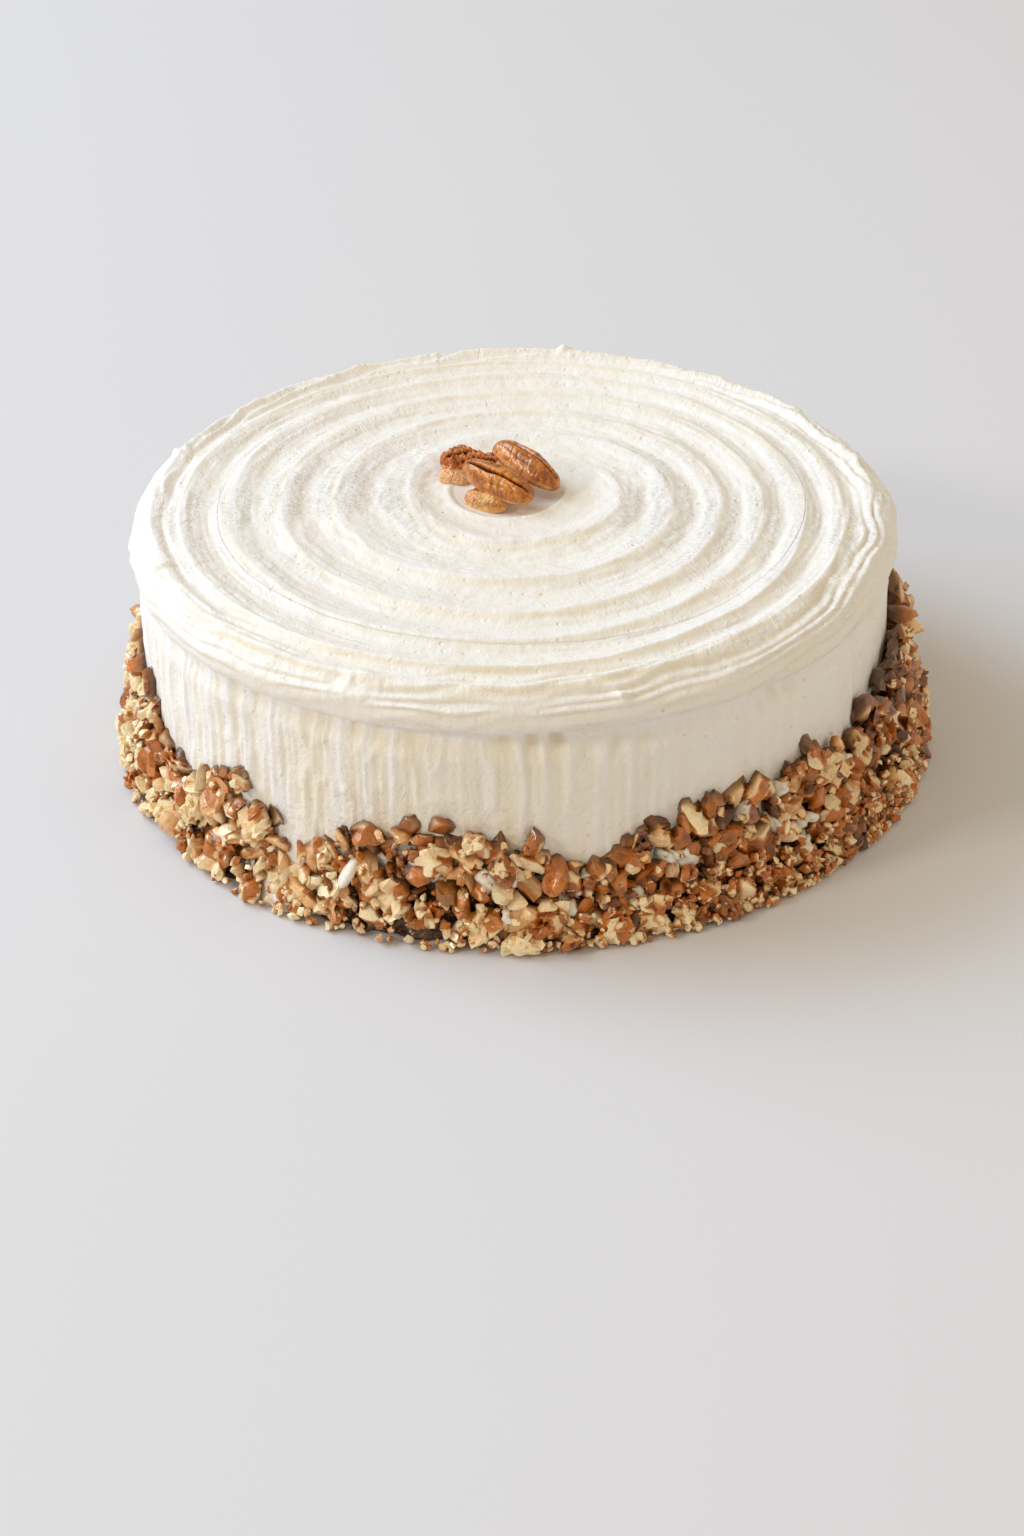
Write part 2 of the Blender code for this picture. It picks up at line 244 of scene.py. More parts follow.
def pole_values(grid: np.ndarray) -> np.ndarray:
    """The values of a grid with poles in the order of its mesh's vertices."""
    flat = grid[1:-1].reshape(-1, *grid.shape[2:])
    return np.concatenate([flat, grid[:1, 0], grid[-1:, 0]])


def paint(mesh: bpy.types.Mesh, name: str, *channels: np.ndarray) -> None:
    """Stores up to three numbers for each vertex as a colour attribute.

    Args:
        mesh: the mesh to paint.
        name: the attribute's name.
        channels: one array of numbers for each channel.
    """
    colours = np.ones((len(mesh.vertices), 4), np.float32)
    for index, channel in enumerate(channels):
        colours[:, index] = channel
    mesh.attributes.new(name, "FLOAT_COLOR", "POINT").data.foreach_set("color", colours.ravel())


def show(mesh: bpy.types.Mesh, material: bpy.types.Material, slot: str, *nodes: str) -> bpy.types.Object:
    """Puts a mesh in the scene as a piece of the cake.

    Args:
        mesh: the mesh, already in its place.
        material: its finish.
        slot: the record's material slot; not used.
        nodes: the CAD nodes that the piece stands for.

    Returns:
        The piece's object.
    """
    item = bpy.data.objects.new(mesh.name, mesh)
    bpy.context.scene.collection.objects.link(item)
    mesh.materials.append(material)
    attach(item, "root")
    if nodes:
        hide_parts(*nodes)
    LOG.info("%s: %d vertices, %d faces", item.name, len(mesh.vertices), len(mesh.polygons))
    return item


# ---------------------------------------------------------------- finishes


class Shader:
    """A small helper that adds and links the nodes of one material."""

    def __init__(self, name: str) -> None:
        """Starts a material with an empty Principled surface.

        Args:
            name: the material's name.
        """
        self.material = bpy.data.materials.new(name)
        self.material.use_nodes = True
        self.tree = self.material.node_tree
        self.surface = self.tree.nodes["Principled BSDF"]

    def node(self, kind: str, **settings: object) -> bpy.types.Node:
        """Adds a node.

        Args:
            kind: the node's type.
            settings: its own settings, and values of its sockets by name.

        Returns:
            The node.
        """
        made = self.tree.nodes.new(kind)
        for key, value in settings.items():
            if hasattr(made, key):
                setattr(made, key, value)
            else:
                made.inputs[key.replace("_", " ")].default_value = value
        return made

    def link(self, source: bpy.types.NodeSocket, target: bpy.types.NodeSocket) -> None:
        """Joins an output to an input."""
        self.tree.links.new(source, target)

    def feed(self, socket: bpy.types.NodeSocket, value: object) -> None:
        """Gives an input a value, or links an output to it.

        Args:
            socket: the input.
            value: a plain value or another node's output.
        """
        if isinstance(value, bpy.types.NodeSocket):
            self.link(value, socket)
        else:
            socket.default_value = value

    def math(self, operation: str, a: object, b: object = 0.0, clamp: bool = False) -> bpy.types.NodeSocket:
        """A Math node.

        Args:
            operation: its name in Blender.
            a: the first socket or number.
            b: the second socket or number.
            clamp: whether the result is held between 0 and 1.

        Returns:
            The result's socket.
        """
        made = self.node("ShaderNodeMath", operation=operation, use_clamp=clamp)
        self.feed(made.inputs[0], a)
        self.feed(made.inputs[1], b)
        return made.outputs[0]

    def times(self, a: object, b: object) -> bpy.types.NodeSocket:
        """The product of two sockets or numbers."""
        return self.math("MULTIPLY", a, b)

    def less(self, value: object) -> bpy.types.NodeSocket:
        """1 minus a socket."""
        return self.math("SUBTRACT", 1.0, value)

    def mix(self, share: object, a: object, b: object) -> bpy.types.NodeSocket:
        """A mix of two colours, each given by its three numbers or by a socket.

        Args:
            share: how much of the second colour, from 0 to 1, as a number or a socket.
            a: the first colour.
            b: the second colour.

        Returns:
            The mixed colour's socket.
        """
        made = self.node("ShaderNodeMix", data_type="RGBA")
        self.feed(made.inputs[0], share)
        for index, colour in ((6, a), (7, b)):
            self.feed(made.inputs[index], (*colour, 1.0) if isinstance(colour, tuple) else colour)
        return made.outputs[2]

    def ramp(self, value: bpy.types.NodeSocket, low: float, high: float) -> bpy.types.NodeSocket:
        """Maps a range to 0..1 with soft ends.

        Args:
            value: the number to map.
            low: what becomes 0.
            high: what becomes 1.

        Returns:
            The mapped number's socket.
        """
        made = self.node("ShaderNodeMapRange", interpolation_type="SMOOTHSTEP", From_Min=low, From_Max=high)
        self.link(value, made.inputs["Value"])
        return made.outputs["Result"]

    def noise(self, place: bpy.types.NodeSocket, scale: float, detail: float = 3.0,
              roughness: float = 0.55) -> bpy.types.NodeSocket:
        """A noise texture.

        Args:
            place: where it is read.
            scale: cells to a metre.
            detail: octaves past the first.
            roughness: how much each octave weighs.

        Returns:
            The value's socket.
        """
        made = self.node("ShaderNodeTexNoise", Scale=scale, Detail=detail, Roughness=roughness)
        self.link(place, made.inputs["Vector"])
        return made.outputs["Fac"]

    def stretched(self, place: bpy.types.NodeSocket, scale: Place) -> bpy.types.NodeSocket:
        """A place with its axes scaled.

        Args:
            place: the place.
            scale: one factor for each axis.

        Returns:
            The scaled place's socket.
        """
        made = self.node("ShaderNodeMapping", Scale=scale)
        self.link(place, made.inputs["Vector"])
        return made.outputs["Vector"]

    def object_place(self) -> bpy.types.NodeSocket:
        """Object coordinates."""
        return self.node("ShaderNodeTexCoord").outputs["Object"]

    def uv_place(self) -> bpy.types.NodeSocket:
        """The piece's own UV map."""
        return self.node("ShaderNodeTexCoord").outputs["UV"]

    def painted(self, name: str) -> tuple[bpy.types.NodeSocket, ...]:
        """Reads a colour attribute.

        Args:
            name: the attribute's name.

        Returns:
            Its three channels.
        """
        source = self.node("ShaderNodeAttribute", attribute_name=name)
        split = self.node("ShaderNodeSeparateColor")
        self.link(source.outputs["Color"], split.inputs["Color"])
        return tuple(split.outputs)

    def bump(self, height: bpy.types.NodeSocket, distance: float,
             under: bpy.types.NodeSocket | None = None) -> bpy.types.NodeSocket:
        """A bump.

        Args:
            height: its height, from 0 to 1.
            distance: how many metres a height of 1 is.
            under: the normal of another bump that it lies on.

        Returns:
            The normal's socket.
        """
        made = self.node("ShaderNodeBump", Strength=1.0, Distance=distance)
        self.link(height, made.inputs["Height"])
        if under is not None:
            self.link(under, made.inputs["Normal"])
        return made.outputs["Normal"]

    def set(self, **values: object) -> None:
        """Sets sockets of the Principled surface by name, or links them."""
        for key, value in values.items():
            self.feed(self.surface.inputs[key.replace("_", " ")], value)


@dataclass(frozen=True)
class FrostingFinish:
    """Cream-cheese frosting: ivory white, with a creamier painted shade in its hollows, and fine pits and
    specks.
    """

    name: str = "cream_cheese_frosting"
    crest: Colour = (0.920, 0.886, 0.852)
    # The creamier tint: painted shade in the grooves, on shaded flanks, under ledges and at the front, and
    # even in the dish.
    cream_and_painted_shade: Colour = (0.885, 0.795, 0.615)
    speck: Colour = (0.740, 0.500, 0.230)
    # Spots: cells to a metre, inner and outer edge in cells, and the share of the cells without a spot.
    specks: tuple[float, float, float, float] = (125.0, 0.035, 0.095, 0.80)
    dents: tuple[float, float, float, float] = (150.0, 0.03, 0.11, 0.70)
    pits: tuple[float, float, float, float] = (310.0, 0.04, 0.26, 0.66)
    # Noises: cells to a metre, octaves and roughness.
    grain: tuple[float, float, float] = (1100.0, 4.0, 0.6)
    curd: tuple[float, float] = (280.0, 3.0)
    tears: tuple[float, float, float] = (760.0, 3.0, 0.65)
    hairs: tuple[float, float, float] = (1.0, 3.0, 0.6)
    hairs_round: float = 72.0
    hairs_along: float = 260.0
    roughness: float = 0.50
    slick_gain: float = 0.22
    grain_height: float = 0.00020
    curd_height: float = 0.00050
    tear_height: float = 0.00045
    hair_height: float = 0.00085
    pit_depth: float = 0.00022
    dent_depth: float = 0.00012

    def build(self) -> bpy.types.Material:
        """Makes the material: a creamier tint painted as shade, orange specks, pits, fine tearing and a soft
        satin shine.

        Returns:
            The material, which reads the painted channels of creamier painted shade, smooth dish and tearing.
        """
        shader = Shader(self.name)
        place = shader.object_place()
        cream_and_painted_shade, slick, torn = shader.painted("relief")
        cloud = shader.noise(place, 60.0)
        share = shader.math("ADD", 0.45, shader.times(cloud, 0.8))
        # Painted shade: the creamier tint follows its painted channel, broken up by slow noise.
        tint = shader.math("MULTIPLY", cream_and_painted_shade, share, True)
        colour = shader.mix(tint, self.crest, self.cream_and_painted_shade)
        speck = self.spots(shader, place, *self.specks)
        colour = shader.mix(shader.times(speck, 0.80), colour, self.speck)
        dents = self.spots(shader, place, *self.dents)
        colour = shader.mix(shader.times(dents, 0.50), colour, self.speck)

        rough = shader.less(slick)
        normal = None
        for height, share, distance in (
            (shader.noise(place, *self.grain), rough, self.grain_height),
            (shader.noise(place, *self.curd), rough, self.curd_height),
            (shader.noise(place, *self.tears), torn, self.tear_height),
            (shader.noise(self.polar_place(shader, place), *self.hairs), torn, self.hair_height),
        ):
            normal = shader.bump(shader.times(height, share), distance, normal)
        pits = self.spots(shader, place, *self.pits)
        normal = shader.bump(shader.less(shader.times(pits, rough)), self.pit_depth, normal)
        normal = shader.bump(shader.less(dents), self.dent_depth, normal)
        shader.set(
            Base_Color=colour,
            Roughness=shader.math("SUBTRACT", self.roughness, shader.times(slick, self.slick_gain)),
            Normal=normal,
            Subsurface_Weight=0.12,
            Subsurface_Scale=0.002,
            Subsurface_Radius=(1.0, 0.75, 0.45),
        )
        return shader.material

    def polar_place(self, shader: Shader, place: bpy.types.NodeSocket) -> bpy.types.NodeSocket:
        """A place counted along the arc and along the radius, whose cells are hairs that point outward.

        The angle is measured from the front, so that its jump lies at the back. Slow noise bends the hairs.

        Args:
            shader: the material's helper.
            place: object coordinates.

        Returns:
            The place's socket.
        """
        split = shader.node("ShaderNodeSeparateXYZ")
        shader.link(place, split.inputs[0])
        x, y, z = split.outputs
        angle = shader.math("ARCTAN2", x, shader.times(y, -1.0))
        radius = shader.math("SQRT", shader.math("ADD", shader.times(x, x), shader.times(y, y)))
        bend = shader.times(shader.noise(place, 120.0, 2.0), 6.0)
        joined = shader.node("ShaderNodeCombineXYZ")
        shader.link(shader.math("ADD", shader.times(angle, self.hairs_round), bend), joined.inputs[0])
        shader.link(shader.times(radius, self.hairs_along), joined.inputs[1])
        shader.link(shader.times(z, self.hairs_along), joined.inputs[2])
        return joined.outputs[0]

    @staticmethod
    def spots(
        shader: Shader, place: bpy.types.NodeSocket, scale: float, inner: float, outer: float, rarity: float
    ) -> bpy.types.NodeSocket:
        """Round spots in a share of the cells of a Voronoi texture.

        Args:
            shader: the material's helper.
            place: where the texture is read.
            scale: cells to a metre.
            inner: distance from a cell's middle up to which a spot is 1, in cells.
            outer: distance past which it is 0.
            rarity: share of the cells that have no spot.

        Returns:
            The spots' socket.
        """
        cells = shader.node("ShaderNodeTexVoronoi", Scale=scale, Randomness=1.0)
        shader.link(place, cells.inputs["Vector"])
        own = shader.node("ShaderNodeSeparateColor")
        shader.link(cells.outputs["Color"], own.inputs["Color"])
        near = shader.less(shader.ramp(cells.outputs["Distance"], inner, outer))
        return shader.times(near, shader.ramp(own.outputs[0], rarity, rarity + 0.04))


@dataclass(frozen=True)
class NutFinish:
    """Chopped nut: brown skin outside, ivory where it is broken, a little sticky."""

    name: str
    skin_light: Colour = (0.58, 0.165, 0.017)
    skin_dark: Colour = (0.075, 0.013, 0.003)
    flesh_light: Colour = (1.00, 0.830, 0.520)
    flesh_dark: Colour = (0.95, 0.420, 0.085)
    # Colour of the painted shade deep in the gaps between the pieces.
    gap: Colour = (0.050, 0.011, 0.003)
    roughness: float = 0.10

    def build(self) -> bpy.types.Material:
        """Makes the material.

        Returns:
            The material, which reads the painted channels cut face, darkness with its painted shade, and
            depth in the gaps, which it paints as shade.
        """
        shader = Shader(self.name)
        place = shader.object_place()
        cut, dark, deep = shader.painted("nut")
        mottle = shader.noise(place, 260.0, 5.0, 0.6)
        veins = shader.noise(place, 900.0, 3.0)
        uneven = shader.math("SUBTRACT", mottle, 0.5)
        # The skin darkens with the painted darkness, which holds painted shade in the creases and at the
        # right, and in blotches.
        skin_share = shader.math("ADD", shader.times(dark, 1.05), shader.times(uneven, 2.4), True)
        skin = shader.mix(skin_share, self.skin_light, self.skin_dark)
        # The flesh turns from ivory to amber close to the skin, with the painted darkness, and as painted
        # shade where it is sunk in the gaps.
        bare = shader.ramp(shader.math("ADD", cut, shader.times(uneven, 0.75)), 0.16, 0.72)
        sunk = shader.math("ADD", shader.times(dark, 0.60), shader.times(deep, 0.90))
        amber = shader.math("ADD", sunk, shader.times(shader.less(bare), 0.80))
        flesh_share = shader.math("ADD", amber, shader.times(uneven, 1.5), True)
        flesh = shader.mix(flesh_share, self.flesh_light, self.flesh_dark)
        colour = shader.mix(bare, skin, flesh)
        colour = shader.mix(shader.times(shader.ramp(veins, 0.56, 0.70), 0.30), colour, self.skin_dark)
        # Painted shade: the deeper a point lies in the gaps, the nearer it comes to their dark colour.
        colour = shader.mix(shader.times(deep, 0.90), colour, self.gap)
        shader.set(
            Base_Color=colour,
            Roughness=shader.math("ADD", self.roughness, shader.times(mottle, 0.14)),
            Normal=shader.bump(shader.noise(place, 560.0, 4.0, 0.6), 0.0006),
            Subsurface_Weight=0.15,
            Subsurface_Scale=0.0012,
            Subsurface_Radius=(1.0, 0.5, 0.25),
            Specular_IOR_Level=0.95,
            Specular_Tint=(1.0, 0.82, 0.60, 1.0),
            Coat_Weight=0.40,
            Coat_Roughness=0.06,
        )
        return shader.material


@dataclass(frozen=True)
class PecanFinish:
    """Pecan skin: golden brown, darker in its groove and wrinkles, with a satin shine."""

    name: str
    light: Colour
    middle: Colour
    dark: Colour
    roughness: float
    # Colour of pale fragments, and of the painted highlight along each half's rim.
    rim: Colour = (0.94, 0.62, 0.34)
    groove_shade: float = 0.40

    def build(self) -> bpy.types.Material:
        """Makes the material.

        Returns:
            The material, which reads the painted channels groove, wrinkle, and paleness with a painted
            highlight along the rim.
        """
        shader = Shader(self.name)
        place = shader.object_place()
        groove, wrinkle, pale = shader.painted("pecan")
        cloud = shader.noise(place, 210.0, 4.0, 0.6)
        streaks = shader.noise(shader.stretched(shader.uv_place(), (900.0, 190.0, 1.0)), 1.0, 4.0)
        colour = shader.mix(shader.ramp(cloud, 0.34, 0.66), self.middle, self.light)
        colour = shader.mix(shader.times(shader.ramp(streaks, 0.50, 0.68), 0.72), colour, self.dark)
        colour = shader.mix(shader.times(wrinkle, 0.78), colour, self.dark)
        # Pale fragments, and a painted highlight along the rim.
        colour = shader.mix(shader.times(pale, 0.72), colour, self.rim)
        shade = tuple(self.groove_shade * channel for channel in self.dark)
        colour = shader.mix(shader.ramp(groove, 0.20, 0.80), colour, shade)
        pores = shader.noise(place, 2200.0, 2.0)
        shader.set(
            Base_Color=colour,
            Roughness=shader.math("ADD", self.roughness, shader.times(cloud, 0.10)),
            Normal=shader.bump(streaks, 0.00032, shader.bump(pores, 0.00008)),
            Subsurface_Weight=0.10,
            Subsurface_Scale=0.0010,
            Subsurface_Radius=(1.0, 0.4, 0.2),
            Specular_IOR_Level=1.00,
            Specular_Tint=(1.0, 0.80, 0.56, 1.0),
            Coat_Weight=0.20,
            Coat_Roughness=0.05,
        )
        return shader.material


@dataclass(frozen=True)
class FloorFinish:
    """A plain pale tabletop."""

    name: str = "pale_floor"
    colour: Colour = (0.71, 0.698, 0.715)

    def build(self) -> bpy.types.Material:
        """Makes an even matt material.

        Returns:
            The material.
        """
        shader = Shader(self.name)
        shader.set(Base_Color=(*self.colour, 1.0), Roughness=0.7)
        return shader.material


# ---------------------------------------------------------------- frosting


@dataclass(frozen=True)
class Swirl:
    """The combed spiral: the ridge's radius at each quarter turn, clockwise from the right."""

    crests: tuple[float, ...] = (
        0.0330, 0.0295, 0.0305, 0.0435,
        0.0480, 0.0525, 0.0530, 0.0590,
        0.0625, 0.0710, 0.0695, 0.0745,
        0.0745, 0.0865, 0.0850, 0.0880,
        0.0870, 0.1010, 0.0995, 0.0970,
        0.0985, 0.1090, 0.1080, 0.1070,
        0.1085, 0.1200, 0.1200, 0.1200,
        0.1200,
    )  # fmt: skip
    turns: int = 6
    depth: float = 0.0022
    roundness: float = 1.9
    lean: float = 0.42
    start: float = 0.86
    disc_depth: float = 0.0021
    disc_slope: float = 0.0090
    wobble: float = 0.0007
    unevenness: float = 0.0005
    sharpness: float = 0.80
    side_fade: float = 0.20

    def crest(self, turn: np.ndarray) -> np.ndarray:
        """The ridge's radius after so many turns, with a slow wobble."""
        sway = Lattice(11, 256, 4).read(turn * 17.0, np.full_like(turn, 0.5))
        return round_interpolation(self.crests, 4 * turn) + self.wobble * sway * smooth_step(turn * 4)

    def rise(self, turn: np.ndarray) -> np.ndarray:
        """How much the ridge stands above its usual height after so many turns."""
        return self.unevenness * Lattice(12, 256, 4).read(turn * 13.0, np.full_like(turn, 0.5))

    def comb(self, r: np.ndarray, theta: np.ndarray) -> tuple[np.ndarray, np.ndarray]:
        """How far the top lies below the crests, and where each point is between two ridges.

        Depth is the groove's depth times 1 - |2u - 1|^p, where u runs from 0 at the inner ridge to 1 at the
        outer one. Inside the first ridge the surface slopes down to a flat disc. The grooves are a little
        shallower at the left and right.

        Args:
            r: radius of each point.
            theta: angle of each point.

        Returns:
            (depth in metres, u).
        """
        turn = (-theta / TAU) % 1.0
        first = self.crest(turn)
        disc = self.disc_depth * smooth_step((first - r) / self.disc_slope)
        start = self.crest(turn - 1)
        inner = self.disc_depth * smooth_step((start - r) / self.disc_slope)
        between = (r - start) / np.maximum(first - start, 1e-6)
        opening = self.depth * self.scoop(between)
        blend = smooth_step((turn - self.start) / (1 - self.start))
        depth = disc + blend * (np.where(r < start, inner, opening) - disc)
        across = np.clip(between, 0, 1) * blend
        for k in range(self.turns):
            low, high = self.crest(turn + k), self.crest(turn + k + 1)
            u = (r - low) / (high - low)
            here = (u >= 0) & (u < 1)
            ridge = self.rise(turn + k) * (1 - u) + self.rise(turn + k + 1) * u
            depth = np.where(here, self.depth * self.scoop(u) - ridge, depth)
            across = np.where(here, u, across)
        return depth * (1 - self.side_fade * np.square(np.cos(theta))), across

    def scoop(self, u: np.ndarray) -> np.ndarray:
        """A groove's section: a power curve and a cosine that rounds the crest.

        Both lean towards the inner ridge, whose outer flank is then the steeper one.

        Args:
            u: place between the two ridges, from 0 to 1.

        Returns:
            The share of the groove's depth.
        """
        u = np.clip(u, 0, 1)
        u = u * (1 + self.lean) / (1 + self.lean * u)
        sharp = 1 - np.abs(2 * u - 1) ** self.roundness
        return self.sharpness * sharp + (1 - self.sharpness) * (0.5 - 0.5 * np.cos(TAU * u))


@dataclass(frozen=True)
class Dish:
    """The smooth shallow dish in the middle, inside a thin raised rim."""

    centre: tuple[float, float] = (-0.0014, 0.0050)
    radius: float = 0.0178
    depth: float = 0.0017
    rim: float = 0.0008
    rim_width: float = 0.0013
    rim_swing: float = 0.4
    rim_turn: float = 0.9
    bowl_share: float = 0.45
    edge: float = 0.002
    mound: tuple[float, float] = (-0.0030, 0.0070)
    mound_height: float = 0.0050
    mound_radius: float = 0.0095

    def away(self, x: np.ndarray, y: np.ndarray) -> np.ndarray:
        """Distance from the dish's centre."""
        return np.hypot(x - self.centre[0], y - self.centre[1])

    def sink(self, x: np.ndarray, y: np.ndarray) -> np.ndarray:
        """How far the dish lies below the disc round it, less the mound that the pecans are set in.

        Args:
            x: place across the cake.
            y: place from front to back.

        Returns:
            The depth in metres: a soft step for the bowl, less a bell for the mound and one for the rim.
        """
        away = self.away(x, y)
        bowl = self.depth * smooth_step((self.radius - away) / (self.bowl_share * self.radius))
        angle = np.arctan2(y - self.centre[1], x - self.centre[0])
        side = 1 - self.rim_swing + self.rim_swing * np.cos(angle + self.rim_turn)
        mound = self.mound_height * bell(np.hypot(x - self.mound[0], y - self.mound[1]) / self.mound_radius)
        return bowl - mound - self.rim * side * bell((away - self.radius) / self.rim_width)

    def inside(self, x: np.ndarray, y: np.ndarray) -> np.ndarray:
        """1 inside the dish, fading to 0 at its rim."""
        return smooth_step((self.radius - self.away(x, y)) / self.edge)


@dataclass(frozen=True)
class CakeShape:
    """Sizes that the top, the wall and the border share."""

    height: float = 0.0780
    lip_radius: float = 0.1150
    lip_top: float = 0.0690
    lip_edge: float = 0.0640
    wall_radius: float = 0.1132
    foot_flare: float = 0.0032
    edge_round: float = 0.0110
    lump_height: float = 0.0010
    lip_mean: float = 0.62
    lip_turn: float = 0.9
    seam: float = math.pi / 2

    def wall(self, z: np.ndarray) -> np.ndarray:
        """Radius of the wall at a height: it widens with the square of the distance below the lip."""
        return self.wall_radius + self.foot_flare * np.square(1 - z / self.lip_edge)

    def lump(self, theta: np.ndarray) -> np.ndarray:
        """Slow unevenness of the lip round the cake, a sum of three sines."""
        slow, middle, quick = np.sin(5 * theta + 0.8), np.sin(11 * theta + 2.1), np.sin(23 * theta)
        return self.lump_height * (0.5 * slow + 0.3 * middle + 0.2 * quick)

    def lip_share(self, theta: np.ndarray) -> np.ndarray:
        """How clearly the lip stands out of the wall: fully at the front right, hardly at the back left."""
        return self.lip_mean + (1 - self.lip_mean) * np.cos(theta + self.lip_turn)

    def round_places(self, segments: int) -> np.ndarray:
        """Angles of a ring's points, starting at the back."""
        return self.seam + np.linspace(0, TAU, segments, endpoint=False)


@dataclass(frozen=True)
class Profile:
    """A line that a surface is turned from: places, outward normals, and 1 where it shows."""

    r: np.ndarray
    z: np.ndarray
    out: np.ndarray
    up: np.ndarray
    shown: np.ndarray

    @staticmethod
    def join(*parts: tuple[object, ...]) -> "Profile":
        """Joins parts that each give r, z, out, up and shown as numbers or arrays."""
        even = [np.broadcast_arrays(*(np.atleast_1d(np.asarray(v, float)) for v in part)) for part in parts]
        return Profile(*(np.concatenate([part[k] for part in even]) for k in range(5)))


